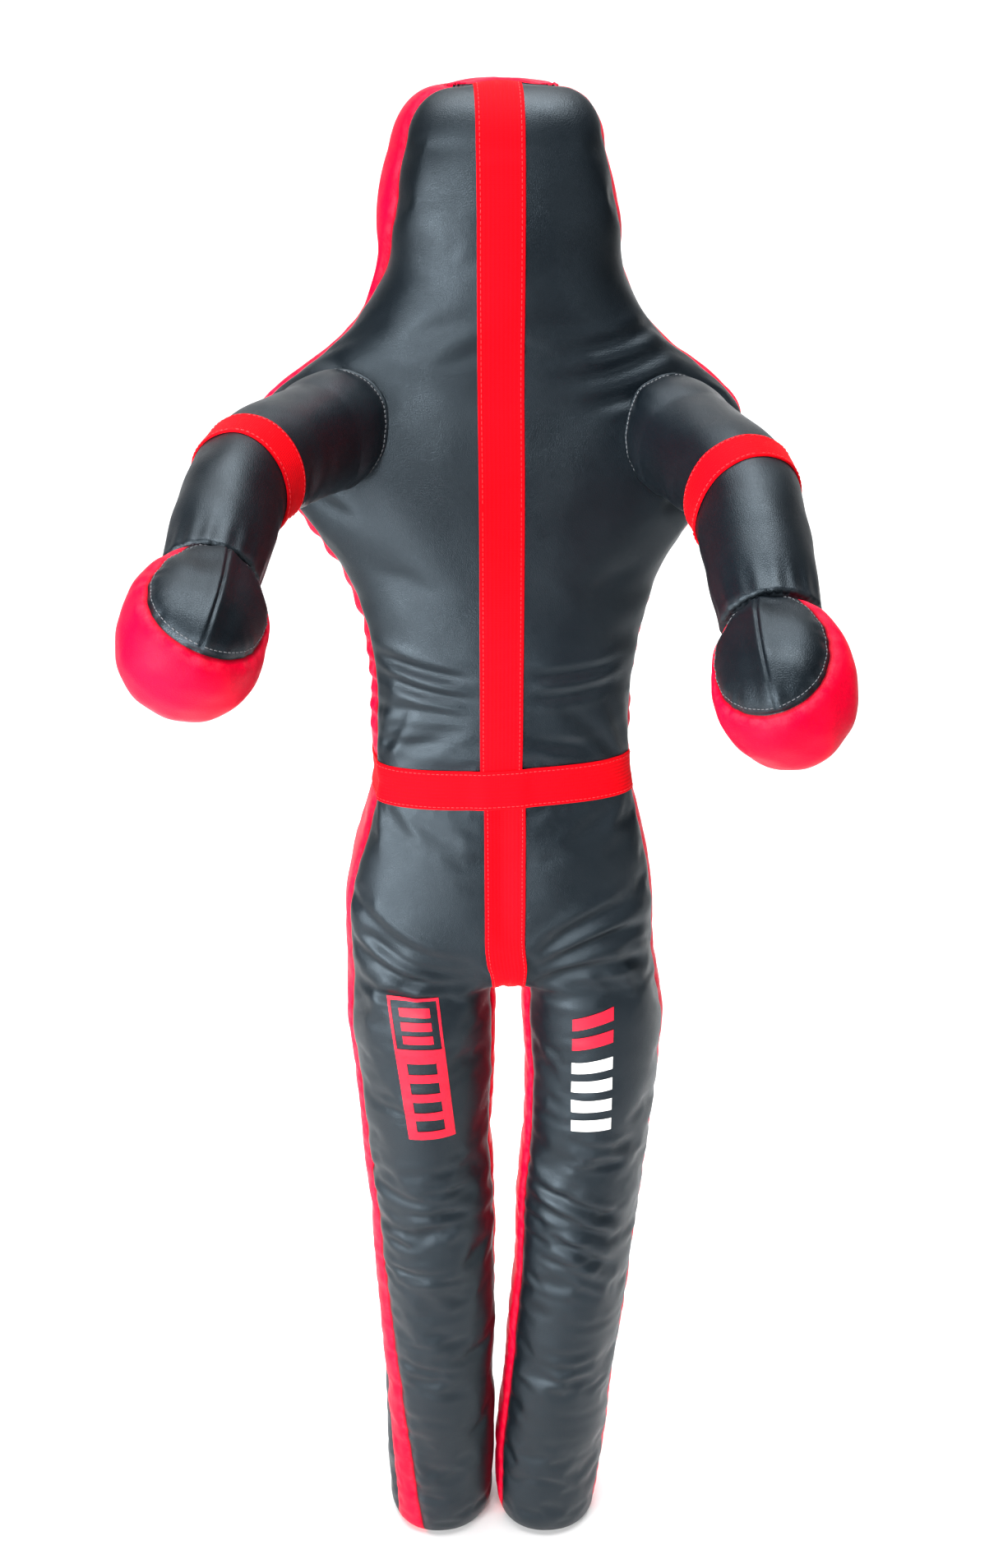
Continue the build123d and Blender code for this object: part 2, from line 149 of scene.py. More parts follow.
# ---- Creases: on the front or not, start and end (x, z), bow, width, depth ----
TRUNK_FOLDS = [
    (True, (-0.118, 1.264), (0.000, 1.240), -0.003, 0.0068, 0.0034),
    (True, (-0.112, 1.243), (0.000, 1.219), -0.004, 0.0064, 0.0031),
    (True, (-0.130, 1.196), (-0.010, 1.198), 0.008, 0.0060, 0.0014),
    (True, (-0.125, 1.168), (-0.020, 1.172), -0.004, 0.0060, 0.0012),
    (True, (0.040, 1.247), (0.152, 1.254), -0.004, 0.0062, 0.0025),
    (True, (0.040, 1.223), (0.148, 1.233), -0.005, 0.0062, 0.0021),
    (True, (0.045, 1.172), (0.130, 1.166), -0.004, 0.0060, 0.0012),
    (True, (0.195, 1.600), (0.075, 1.566), 0.010, 0.0080, 0.0032),
    (True, (0.200, 1.572), (0.070, 1.540), 0.006, 0.0080, 0.0034),
    (True, (0.205, 1.545), (0.095, 1.512), 0.004, 0.0065, 0.0020),
    (True, (-0.200, 1.562), (-0.110, 1.545), 0.006, 0.0080, 0.0018),
    (False, (-0.100, 1.240), (0.010, 1.225), 0.008, 0.0075, 0.0026),
    (False, (0.040, 1.205), (0.150, 1.215), -0.006, 0.0070, 0.0024),
    (False, (-0.120, 1.175), (0.000, 1.185), -0.006, 0.0070, 0.0020),
]
LEG_FOLDS = {
    "right": [
        (True, (-0.150, 0.985), (-0.018, 0.900), -0.016, 0.0086, 0.0039),
        (True, (-0.145, 0.952), (-0.012, 0.884), -0.014, 0.0072, 0.0042),
        (True, (-0.140, 0.915), (-0.010, 0.870), -0.010, 0.0072, 0.0034),
        (True, (-0.145, 0.872), (-0.030, 0.852), -0.006, 0.0065, 0.0026),
        (True, (-0.140, 0.700), (-0.050, 0.690), 0.006, 0.0058, 0.0015),
        (True, (-0.150, 0.585), (-0.060, 0.570), -0.006, 0.0065, 0.0018),
        (True, (-0.140, 0.520), (-0.020, 0.535), -0.008, 0.0072, 0.0021),
        (True, (-0.135, 0.440), (-0.040, 0.455), 0.006, 0.0065, 0.0017),
        (True, (-0.130, 0.300), (-0.050, 0.290), 0.004, 0.0058, 0.0013),
        (False, (-0.130, 0.900), (-0.010, 0.872), 0.012, 0.0079, 0.0039),
        (False, (-0.120, 0.520), (-0.010, 0.505), 0.008, 0.0072, 0.0024),
        (False, (-0.130, 0.470), (-0.030, 0.480), -0.006, 0.0065, 0.0020),
    ],
    "left": [
        (True, (0.185, 0.975), (0.052, 0.902), -0.014, 0.0086, 0.0038),
        (True, (0.190, 0.938), (0.050, 0.884), -0.012, 0.0072, 0.0042),
        (True, (0.195, 0.895), (0.050, 0.868), -0.010, 0.0072, 0.0033),
        (True, (0.180, 0.850), (0.070, 0.842), -0.006, 0.0065, 0.0017),
        (True, (0.185, 0.640), (0.095, 0.650), 0.006, 0.0065, 0.0016),
        (True, (0.056, 0.568), (0.178, 0.520), 0.006, 0.0072, 0.0030),
        (True, (0.060, 0.540), (0.182, 0.478), 0.008, 0.0079, 0.0034),
        (True, (0.065, 0.505), (0.175, 0.440), 0.006, 0.0072, 0.0029),
        (True, (0.075, 0.462), (0.165, 0.415), 0.004, 0.0065, 0.0018),
        (True, (0.150, 0.300), (0.065, 0.292), 0.004, 0.0058, 0.0013),
        (False, (0.190, 0.900), (0.050, 0.872), -0.012, 0.0079, 0.0039),
        (False, (0.050, 0.530), (0.160, 0.505), 0.008, 0.0072, 0.0024),
        (False, (0.060, 0.480), (0.150, 0.475), -0.006, 0.0065, 0.0020),
    ],
}
# ---- Puckers along the seams: lowest, highest, how many, depth ----
SEAM_PUCKERS = [(1.15, 1.30, 6, 0.0007), (1.30, 1.48, 6, 0.0006), (1.50, 1.75, 7, 0.0006)]
LEG_PUCKERS = [(0.05, 0.45, 11, 0.0008), (0.42, 0.62, 8, 0.0012), (0.62, 0.95, 9, 0.0008)]
LEG_RIPPLES = [(0.06, 0.42, 8, 0.0007), (0.42, 0.62, 7, 0.0012), (0.66, 0.86, 5, 0.0005)]

# ---- Prints: low left, low right, high right, high left corners (x, z) ----
RIGHT_PRINT = [(-0.089, 0.667), (-0.034, 0.668), (-0.0515, 0.859), (-0.110, 0.860)]
LEFT_PRINT = [(0.105, 0.665), (0.152, 0.658), (0.150, 0.846), (0.103, 0.840)]
PRINT_STEP = 0.003

SIDES = ("right", "left")
OUTWARD = {"right": -1.0, "left": 1.0}


# ---- Reading the frame ----
def node_edges(names):
    """End points of every triangle edge of some CAD nodes, as two arrays."""
    starts, ends = [], []
    for name in names:
        mesh = frame["nodes"][name].data
        points = points_of(mesh)
        pairs = np.empty(len(mesh.edges) * 2, int)
        mesh.edges.foreach_get("vertices", pairs)
        pairs = pairs.reshape(-1, 2)
        starts.append(points[pairs[:, 0]])
        ends.append(points[pairs[:, 1]])
    return np.concatenate(starts), np.concatenate(ends)


def outline(names, heights):
    """Centre x, half width, centre y and half depth of CAD nodes, sliced at each height."""
    starts, ends = node_edges(names)
    rows = []
    for z in heights:
        crossing = (starts[:, 2] - z) * (ends[:, 2] - z) < 0
        a, b = starts[crossing], ends[crossing]
        if len(a) < 8:
            rows.append([np.nan] * 4)
            continue
        share = ((z - a[:, 2]) / (b[:, 2] - a[:, 2]))[:, None]
        cut = a + share * (b - a)
        low, high = cut.min(0), cut.max(0)
        middle, half = (low + high) / 2, (high - low) / 2
        rows.append([middle[0], half[0], middle[1], half[1]])
    rows = np.array(rows)
    down = -np.asarray(heights, float)
    for column in rows.T:
        known = ~np.isnan(column)
        column[~known] = np.interp(down[~known], down[known], column[known])
    return rows


def smooth(values, width):
    """A Gaussian blur along the first axis that keeps the two ends."""
    reach = int(3 * width) + 1
    kernel = np.exp(-0.5 * (np.arange(-reach, reach + 1) / width) ** 2)
    kernel /= kernel.sum()
    out = np.empty_like(values)
    for k in range(values.shape[1]):
        column = values[:, k]
        head = 2 * column[0] - column[reach:0:-1]
        tail = 2 * column[-1] - column[-2 : -reach - 2 : -1]
        out[:, k] = np.convolve(np.concatenate([head, column, tail]), kernel, "valid")
    return out


def smooth_loop(values, width):
    """The same blur for values along a closed loop."""
    count = len(values)
    return smooth(np.concatenate([values] * 3), width)[count : 2 * count]


def step(x, low, high):
    """Smoothstep from 0 at low to 1 at high."""
    t = np.clip((np.asarray(x, float) - low) / (high - low), 0, 1)
    return t * t * (3 - 2 * t)


def joint(name):
    return next(j for j in frame["joints"] if j["name"] == name)


def units(vectors):
    """The same directions with a length of 1."""
    return vectors / np.linalg.norm(vectors, axis=-1, keepdims=True)


def run_of(line):
    """The distance along a line of points, from 0 at its start."""
    return np.concatenate([[0], np.cumsum(np.linalg.norm(np.diff(line, axis=0), axis=1))])


def on_line(at, run, line, axis=1):
    """Points, or other values, at some distances along a line whose own points lie at run."""
    return np.stack([np.interp(at, run, column) for column in line.T], axis)


TRUNK_NODES = ["hips_front_panel", "hips_back_panel", "hips_side_strips", "waist_fold", "torso_front_panel"]
TRUNK_NODES += ["torso_back_panel", "torso_side_strips", "neck_fold", "head_front_panel", "head_back_panel"]
TRUNK_NODES += ["head_gusset"]


def leg_nodes(side):
    parts = ["shin_front_panel", "shin_back_panel", "shin_side_strip", "knee_fold", "thigh_front_panel"]
    parts += ["thigh_back_panel", "thigh_side_strips", "hip_fold"]
    return [f"{side}_{p}" for p in parts]


belt_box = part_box("waist_belt")
BELT_Z = (belt_box[0].z + belt_box[1].z) / 2
trunk_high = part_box("head_gusset")[1].z
strap_low, strap_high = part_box("centre_strap_upper")
STRAP_X = (strap_low.x + strap_high.x) / 2
TRUNK_Y = (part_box("hips_front_panel")[0].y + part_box("hips_back_panel")[1].y) / 2


# ---- Sections ----
def resample(line, count):
    """The same polyline (k, 2) with evenly spaced points."""
    run = run_of(line)
    return on_line(np.linspace(0, run[-1], count), run, line)


def quarter(edge_x, edge_y, middle_x, middle_y, t):
    """A boxy quarter curve from a seam (t 0) to the middle of a panel (t 1)."""
    angle = t * math.pi / 2
    across = np.cos(angle) ** (2 / PANEL_POWER)
    along = np.sin(angle) ** (2 / PANEL_POWER)
    return np.stack([middle_x + (edge_x - middle_x) * across, edge_y + (middle_y - edge_y) * along], 1)


def bulged(ax, ay, bx, by, out, count):
    """A strip from a to b that bows out sideways in x."""
    t = np.linspace(0, 1, count)
    bow = out * (1 - (2 * t - 1) ** 2)
    return np.stack([ax + (bx - ax) * t + bow, ay + (by - ay) * t], 1)


FRONT, LEFT_STRIP, BACK, RIGHT_STRIP, INNER, OUTER = range(6)  # the panels' tags


def gusset_bulge(side, z):
    """How far the side gusset bulges past the front panel's edge at one height."""
    return float(np.interp(z, BULGE_Z, GUSSET_BULGE[side]))


def trunk_ring(cx, hw, cy, hd, seam, z):
    """One ring of the trunk: front from right to left, left side, back, right side."""
    front_n, side_n, back_n, _ = TRUNK_COUNTS
    right, left = (min(gusset_bulge(side, z), 0.2 * hw) for side in SIDES)
    t = np.linspace(0, 1, DENSE)
    rise = quarter(right - hw, -seam, 0, -hd, t)
    fall = quarter(hw - left, -seam, 0, -hd, t)[-2::-1]
    front = np.concatenate([rise, fall])
    back = (front * [1, -1])[::-1]
    pieces = [
        resample(front, front_n + 1),
        resample(bulged(hw - left, -seam, hw - left, seam, left, DENSE), side_n + 1),
        resample(back, back_n + 1),
        resample(bulged(right - hw, seam, right - hw, -seam, -right, DENSE), side_n + 1),
    ]
    ring = np.concatenate([p[:-1] for p in pieces])
    return ring + [cx, cy]


def leg_curve(cx, hw, cy, hd, angles):
    """Points of a leg's boxy round section at some angles, 0 towards +X and 90 degrees towards +Y."""
    c, s = np.cos(angles), np.sin(angles)
    power = 2 / 2.18
    return np.stack([cx + hw * np.sign(c) * np.abs(c) ** power, cy + hd * np.sign(s) * np.abs(s) ** power], 1)


def half_ring(z, side, trunk, leg):
    """One ring of the lower body's right or left half, from the pelvis down to the foot."""
    out = OUTWARD[side]
    front_n, inner_n, back_n, outer_n = HALF_COUNTS
    cx, hw, cy, hd = trunk
    lx, lw, ly, ld = leg
    t = np.linspace(0, 1, DENSE)

    seam = TRUNK_SEAM + (LEG_SEAM - TRUNK_SEAM) * step(z, 0.98, 0.78)
    middle = STRAP_X + WEB_CENTRE * step(z, 0.97, 0.85)
    bulge = gusset_bulge(side, z)
    edge = cx + out * (hw - bulge)
    front_d = quarter(edge, cy - seam, middle, cy - hd, t)
    back_d = quarter(edge, cy + seam, middle, cy + hd, t)

    half_angle = math.asin(min(0.9, seam / ld))
    twist = math.radians(float(np.interp(z, TWIST_Z, LEG_TWIST[side])))
    outer_at = math.pi if side == "right" else 2 * math.pi
    inner_at = 2 * math.pi if side == "right" else math.pi
    turn = out * half_angle
    # The front runs from the outer seam to the inner one through 270 degrees.
    front_e = leg_curve(lx, lw, ly, ld, np.linspace(outer_at - turn, inner_at + turn, DENSE) + twist)
    back_e = leg_curve(lx, lw, ly, ld, np.linspace(-outer_at + turn, -inner_at - turn, DENSE) + twist)
    inner_e = leg_curve(lx, lw, ly, ld, np.linspace(inner_at + turn, inner_at - turn, DENSE) + twist)
    outer_e = leg_curve(lx, lw, ly, ld, np.linspace(outer_at + turn, outer_at - turn, DENSE) + twist)

    drop = float(np.clip((CROTCH_TOP - z) / (CROTCH_TOP - CROTCH_LOW), 0, 1))
    corner = 1 - math.sqrt(1 - drop * drop)
    broad = float(step(z, 0.985, 0.80))
    weight = (broad + (corner - broad) * t**5)[:, None]
    front = front_d + weight * (front_e - front_d)
    back = back_d + weight * (back_e - back_d)
    inner_bow = inner_e - np.linspace(inner_e[0], inner_e[-1], DENSE)
    inner = np.linspace(front[-1], back[-1], DENSE) + corner * step(z, 0.86, 0.80) * inner_bow
    outer_bow = outer_e - np.linspace(outer_e[0], outer_e[-1], DENSE)
    outer = bulged(*back[0], *front[0], out * bulge * (1 - broad), DENSE) + broad * outer_bow
    pieces = [
        resample(front, front_n + 1),
        resample(inner, inner_n + 1),
        resample(back[::-1], back_n + 1),
        resample(outer, outer_n + 1),
    ]
    return np.concatenate([p[:-1] for p in pieces])


# ---- Meshes ----
def new_object(name, points, faces, smooth_faces=True):
    mesh = bpy.data.meshes.new(name)
    mesh.from_pydata([tuple(p) for p in points], [], faces)
    mesh.polygons.foreach_set("use_smooth", [smooth_faces] * len(mesh.polygons))
    obj = bpy.data.objects.new(name, mesh)
    bpy.context.scene.collection.objects.link(obj)
    return obj


def face_tag(obj, name, values):
    attribute = obj.data.attributes.new(name, "INT", "FACE")
    attribute.data.foreach_set("value", np.asarray(values, np.int32))


def point_tag(obj, name, values):
    attribute = obj.data.attributes.new(name, "FLOAT", "POINT")
    attribute.data.foreach_set("value", np.asarray(values, np.float32))


def points_of(mesh):
    co = np.empty(len(mesh.vertices) * 3)
    mesh.vertices.foreach_get("co", co)
    return co.reshape(-1, 3)


def normals_of(mesh):
    no = np.empty(len(mesh.vertices) * 3)
    mesh.vertex_normals.foreach_get("vector", no)
    return no.reshape(-1, 3)


def set_points(mesh, co):
    mesh.vertices.foreach_set("co", np.asarray(co, np.float32).ravel())
    mesh.update()


def ring_faces(rows, columns, start=0):
    """Quads of a closed tube, outward when the rings run anticlockwise and rows go down."""
    faces = []
    for r in range(rows - 1):
        a, b = start + r * columns, start + (r + 1) * columns
        for c in range(columns):
            d = (c + 1) % columns
            faces.append((a + c, b + c, b + d, a + d))
    return faces


def cap_grid(ring, counts):
    """A grid that closes a ring from its first panel across to its third."""
    n, m = counts[0], counts[1]
    corner = np.cumsum([0, *counts])
    closed = np.concatenate([ring, ring[:1]])
    first = closed[corner[0] : corner[1] + 1]
    second = closed[corner[1] : corner[2] + 1]
    third = closed[corner[2] : corner[3] + 1][::-1]
    fourth = closed[corner[3] : corner[4] + 1][::-1]
    share = np.linspace(0, 1, m + 1)[None, :, None]
    grid = first[:, None, :] * (1 - share) + third[:, None, :] * share
    grid[0], grid[n] = fourth, second
    return grid.reshape(-1, ring.shape[1])


def grid_faces(rows, columns, start):
    """Quads of an open grid whose points are stored row by row from a start index."""
    faces = []
    for r in range(rows - 1):
        for c in range(columns - 1):
            k = start + r * columns + c
            faces.append((k, k + columns, k + columns + 1, k + 1))
    return faces


def welded(name, points, faces, panels, zones, seams, flip):
    """One smooth mesh from rings and caps, with its panel, zone and seam distance kept."""
    if flip:
        faces = [f[::-1] for f in faces]
    obj = new_object(name, points, faces)
    face_tag(obj, "panel", panels)
    face_tag(obj, "zone", zones)
    point_tag(obj, "seam", seams[:, 0])
    point_tag(obj, "seam_id", seams[:, 1])
    mesh = bmesh.new()
    mesh.from_mesh(obj.data)
    bmesh.ops.remove_doubles(mesh, verts=mesh.verts, dist=1e-5)
    mesh.to_mesh(obj.data)
    mesh.free()
    return obj


def seam_run(ring, counts):
    """Distance along the ring from each point to the nearest seam, and that seam's number."""
    corner = np.cumsum([0, *counts])
    run = run_of(np.concatenate([ring, ring[:1]]))
    gaps = np.abs(run[:-1, None] - run[corner][None, :])
    return np.column_stack([gaps.min(1), gaps.argmin(1) % len(counts)])


def closed_skin(name, points, cap, counts, panels, zones, cap_tags, turn_cap, flip):
    """One skin from rings and the cap that closes them; cap_tags are the cap's panel and zone."""
    columns = sum(counts)
    faces = ring_faces(len(points), columns)
    cap_faces = grid_faces(counts[0] + 1, counts[1] + 1, len(points) * columns)
    if turn_cap:
        cap_faces = [f[::-1] for f in cap_faces]
    panel_tags = np.tile(np.repeat(panels, counts), len(points) - 1)
    panel_tags = np.append(panel_tags, np.full(len(cap_faces), cap_tags[0]))
    zone_tags = np.append(np.repeat(zones, columns), np.full(len(cap_faces), cap_tags[1]))
    seams = np.concatenate([seam_run(p, counts) for p in points] + [np.tile(NO_SEAM, (len(cap), 1))])
    everything = np.concatenate([*points, cap])
    return welded(name, everything, faces + cap_faces, panel_tags, zone_tags, seams, flip)


def trunk_skin():
    """The head and torso down to the middle of the belt, as one closed-topped mesh."""
    crown_base = trunk_high - CROWN_RISE
    lower = np.arange(crown_base, BELT_Z, -ROW_STEP)
    lower = np.append(lower[:-1], BELT_Z)
    body = smooth(outline(TRUNK_NODES, lower), 1.6)
    seam = TRUNK_SEAM - 0.004 * step(lower, 1.60, 1.76)
    seam = seam - SHOULDER_WRAP * step(lower, 1.47, 1.53) * step(-lower, -1.69, -1.63)
    rings, heights = [], []
    cx, hw, cy, hd = body[0]
    for k in range(CROWN_ROWS, 0, -1):
        rise = math.sin(0.5 * math.pi * k / CROWN_ROWS)
        width = max(0.0, 1 - rise**2.6) ** 0.45
        depth = max(0.0, 1 - rise**2.0) ** 0.5
        ring_hw = CROWN_HALF_WIDTH + (hw - CROWN_HALF_WIDTH) * width
        ring_hd = CROWN_SEAM + CROWN_LEDGE + (hd - CROWN_SEAM - CROWN_LEDGE) * depth
        ring_seam = CROWN_SEAM + (seam[0] - CROWN_SEAM) * depth
        rings.append(trunk_ring(cx, ring_hw, cy, ring_hd, ring_seam, crown_base))
        heights.append(crown_base + CROWN_RISE * rise)
    for z, row, s in zip(lower, body, seam):
        rings.append(trunk_ring(*row, s, z))
        heights.append(z)
    for ring, z in zip(rings, heights):
        high = max(0.0, (z - HEAD_TAPER_FROM) / (trunk_high - HEAD_TAPER_FROM)) ** 2
        share = np.where(ring[:, 0] < cx, HEAD_TAPER["right"], HEAD_TAPER["left"])
        ring[:, 0] = cx + (ring[:, 0] - cx) * (1 - share * high)
    points = [np.column_stack([r, np.full(len(r), z)]) for r, z in zip(rings, heights)]
    cap = cap_grid(points[0], TRUNK_COUNTS)
    cap_rows, cap_columns = TRUNK_COUNTS[0] + 1, TRUNK_COUNTS[1] + 1
    over = np.sin(np.linspace(0, math.pi, cap_columns)) ** 0.7
    ends = np.sin(np.linspace(0, math.pi, cap_rows)).clip(0) ** 0.4
    cap[:, 2] += CROWN_GUSSET_RISE * np.outer(ends, over).ravel()
    panels = (FRONT, LEFT_STRIP, BACK, RIGHT_STRIP)
    zones = (np.array(heights[:-1]) < SPLIT_CHEST).astype(int)
    return closed_skin("trunk", points, cap, TRUNK_COUNTS, panels, zones, (LEFT_STRIP, 0), True, False)


def half_skin(side):
    """The pelvis, leg and foot of one side, from the middle of the belt to the sole."""
    heights = np.arange(BELT_Z, 0.022, -ROW_STEP)
    heights = np.concatenate([heights, [0.017, 0.012, 0.0075, 0.004, 0.0015]])
    trunk = smooth(outline(TRUNK_NODES, heights), 1.6)
    leg = smooth(outline(leg_nodes(side), heights), 1.6)
    body_rows = heights > 0.022
    raw = outline(leg_nodes(side), heights)
    leg[~body_rows] = raw[~body_rows]
    points = []
    for z, t_row, l_row in zip(heights, trunk, leg):
        ring = half_ring(z, side, t_row, l_row)
        ring[:, 1] -= FOOT_FORWARD[side] * max(0.0, 1 - z / 0.6) ** 1.4
        points.append(np.column_stack([ring, np.full(len(ring), z)]))
    last = points[-1].copy()
    last[:, 2] = SOLE_Z
    closed = np.concatenate([last, last[:1]])
    chords, start = [], 0
    for count in HALF_COUNTS:
        chords.append(np.linspace(closed[start], closed[start + count], count, endpoint=False))
        start += count
    chords = np.concatenate(chords)
    for share in SOLE_SHARES:
        points.append(last * (1 - share) + chords * share)
    zones = (np.append(heights, np.zeros(len(SOLE_SHARES) - 1)) < SPLIT_THIGH).astype(int)
    cap = cap_grid(points[-1], HALF_COUNTS)
    panels = (FRONT, INNER, BACK, OUTER)
    tags = (OUTER, 1)
    return closed_skin(f"{side}_half", points, cap, HALF_COUNTS, panels, zones, tags, False, side == "left")


# ---- Working on skins ----
def baked(obj):
    """Turns what an object's modifiers make of it into its own mesh."""
    depsgraph = bpy.context.evaluated_depsgraph_get()
    mesh = bpy.data.meshes.new_from_object(
        obj.evaluated_get(depsgraph), preserve_all_data_layers=True, depsgraph=depsgraph
    )
    obj.modifiers.clear()
    obj.data = mesh


def subdivided(obj):
    """Subdivides an object's mesh once, for good."""
    modifier = obj.modifiers.new("Subdivision", "SUBSURF")
    modifier.levels = 1
    modifier.render_levels = 1
    baked(obj)


def tag_of(mesh, name):
    attribute = mesh.attributes[name]
    values = np.empty(len(attribute.data), np.float32 if attribute.data_type == "FLOAT" else np.int32)
    attribute.data.foreach_get("value", values)
    return values


def lumps(points, wavelength, seed):
    """Smooth seeded unevenness of about -1 to 1 over some points."""
    random = np.random.default_rng(seed)
    total = np.zeros(len(points))
    for _ in range(14):
        wave = random.normal(size=3)
        wave *= 2 * math.pi / (wavelength * random.uniform(0.7, 1.6) * np.linalg.norm(wave))
        total += np.sin(points @ wave + random.uniform(0, 2 * math.pi))
    return total / 5


def fold_profile(q):
    """A crease at q 0 with a soft ridge on each side."""
    return -np.exp(-q * q) + 0.5 * np.exp(-((q - 1.9) ** 2)) + 0.5 * np.exp(-((q + 1.9) ** 2))


def fold(across, up, start, end, bow, width, depth):
    """Height of one crease from start to end on a flat map of the surface, bowed up by bow."""
    (a0, b0), (a1, b1) = start, end
    length = math.hypot(a1 - a0, b1 - b0)
    da, db = (a1 - a0) / length, (b1 - b0) / length
    t = ((across - a0) * da + (up - b0) * db) / length
    off = (up - b0) * da - (across - a0) * db - bow * 4 * t * (1 - t)
    taper = step(t, -0.05, 0.3) * step(-t, -1.05, -0.65)
    return depth * taper * fold_profile(off / width)


def puckers(seam, seam_id, up, which, low, high, count, seed, length=(0.02, 0.06), depth=0.0012, width=0.007):
    """Short creases that run from one seam into the panels beside it."""
    random = np.random.default_rng(seed)
    near = np.abs(seam_id - which) < 0.3
    total = np.zeros(len(seam))
    for _ in range(count):
        at = random.uniform(low, high)
        reach = random.uniform(*length)
        slope = random.normal(0, 0.28)
        size = depth * random.uniform(0.4, 1.3)
        q = (up - at - slope * seam) / (width * random.uniform(0.6, 1.4) * (1 + seam / reach))
        total += size * np.exp(-((seam / reach) ** 2)) * fold_profile(q)
    return np.where(near, total, 0)


def simulate(obj, pinned, pressure, slack, cap, frames=20):
    """Inflates a skin as cloth, held where pinned is 1, and applies the result with its moves capped."""
    before = points_of(obj.data)
    group = obj.vertex_groups.new(name="pin")
    for index in np.flatnonzero(pinned > 0):
        group.add([int(index)], float(pinned[index]), "REPLACE")
    cloth = obj.modifiers.new("Cloth", "CLOTH")
    settings = cloth.settings
    settings.quality = 5
    settings.mass = 0.25
    settings.tension_stiffness = 25
    settings.compression_stiffness = 25
    settings.shear_stiffness = 12
    settings.bending_stiffness = 2.5
    settings.use_pressure = True
    settings.uniform_pressure_force = pressure
    settings.shrink_min = -slack
    settings.vertex_group_mass = "pin"
    settings.pin_stiffness = 1.0
    settings.effector_weights.gravity = 0
    cloth.collision_settings.use_collision = False
    scene = bpy.context.scene
    for number in range(1, frames + 1):
        scene.frame_set(number)
    baked(obj)
    scene.frame_set(1)
    moved = points_of(obj.data) - before
    size = np.linalg.norm(moved, axis=1)
    moved *= (cap * np.tanh(size / cap) / np.maximum(size, 1e-9))[:, None]
    set_points(obj.data, before + moved)


def cut(skin, name, chosen, finish):
    """A piece made of some faces of a skin, shaded with the whole skin's normals."""
    mesh = skin.data
    corners = np.empty(len(mesh.loops), int)
    mesh.loops.foreach_get("vertex_index", corners)
    corners = corners.reshape(-1, 4)[chosen]
    used, index = np.unique(corners, return_inverse=True)
    obj = new_object(name, points_of(mesh)[used], index.reshape(-1, 4).tolist())
    obj.data.normals_split_custom_set_from_vertices(normals_of(mesh)[used].tolist())
    point_tag(obj, "seam", tag_of(mesh, "seam")[used])
    obj.data.materials.append(finish)
    return obj


def tree_of(*objects):
    """A search tree over the faces of some objects."""
    points, faces, start = [], [], 0
    for obj in objects:
        co = points_of(obj.data)
        points.extend(co.tolist())
        faces.extend([[start + v for v in p.vertices] for p in obj.data.polygons])
        start += len(co)
    return BVHTree.FromPolygons(points, faces)


# ---- Flat pieces: webbing and prints ----
def grid_normals(grid, loop):
    """Outward normals of a grid of points whose rows run along and columns run across."""
    if loop:
        along = np.roll(grid, -1, 0) - np.roll(grid, 1, 0)
    else:
        along = np.gradient(grid, axis=0)
    across = np.gradient(grid, axis=1)
    normal = np.cross(across, along)
    return normal / np.maximum(np.linalg.norm(normal, axis=2, keepdims=True), 1e-12)


def slab(name, grid, finish, lift, thickness, loop=False, flip=False, normal=None):
    """A closed band over a grid of points, with rounded edges, and its top grid and normals."""
    rows, columns = grid.shape[:2]
    if normal is None:
        normal = grid_normals(grid, loop) * (-1 if flip else 1)
    round_off = np.ones(columns)
    round_off[[0, -1]] = 0.35
    top = grid + normal * (lift + thickness * round_off)[None, :, None]
    low = grid + normal * lift
    faces = []
    for r in range(rows if loop else rows - 1):
        n = (r + 1) % rows
        for c in range(columns - 1):
            faces.append((r * columns + c, r * columns + c + 1, n * columns + c + 1, n * columns + c))
    count = rows * columns
    faces += [tuple(count + v for v in reversed(f)) for f in faces]
    for r in range(rows if loop else rows - 1):
        n = (r + 1) % rows
        faces.append((r * columns, n * columns, count + n * columns, count + r * columns))
        a, b = r * columns + columns - 1, n * columns + columns - 1
        faces.append((a, count + a, count + b, b))
    if not loop:
        for c in range(columns - 1):
            last = (rows - 1) * columns
            faces.append((c, count + c, count + c + 1, c + 1))
            faces.append((last + c, last + c + 1, count + last + c + 1, count + last + c))
    if flip:
        faces = [f[::-1] for f in faces]
    obj = new_object(name, np.concatenate([top.reshape(-1, 3), low.reshape(-1, 3)]), faces)
    run = run_of(grid[:, columns // 2])
    wide = np.cumsum(np.linalg.norm(np.diff(grid, axis=1), axis=2), axis=1)
    wide = np.concatenate([np.zeros((rows, 1)), wide], axis=1)
    share = wide / wide[:, -1:] - 0.5
    point_tag(obj, "across", np.tile(share.ravel() * WEBBING, 2))
    point_tag(obj, "along", np.tile(np.repeat(run, columns), 2))
    obj.data.set_sharp_from_angle(angle=math.radians(40))
    obj.data.materials.append(finish)
    return obj, top, normal


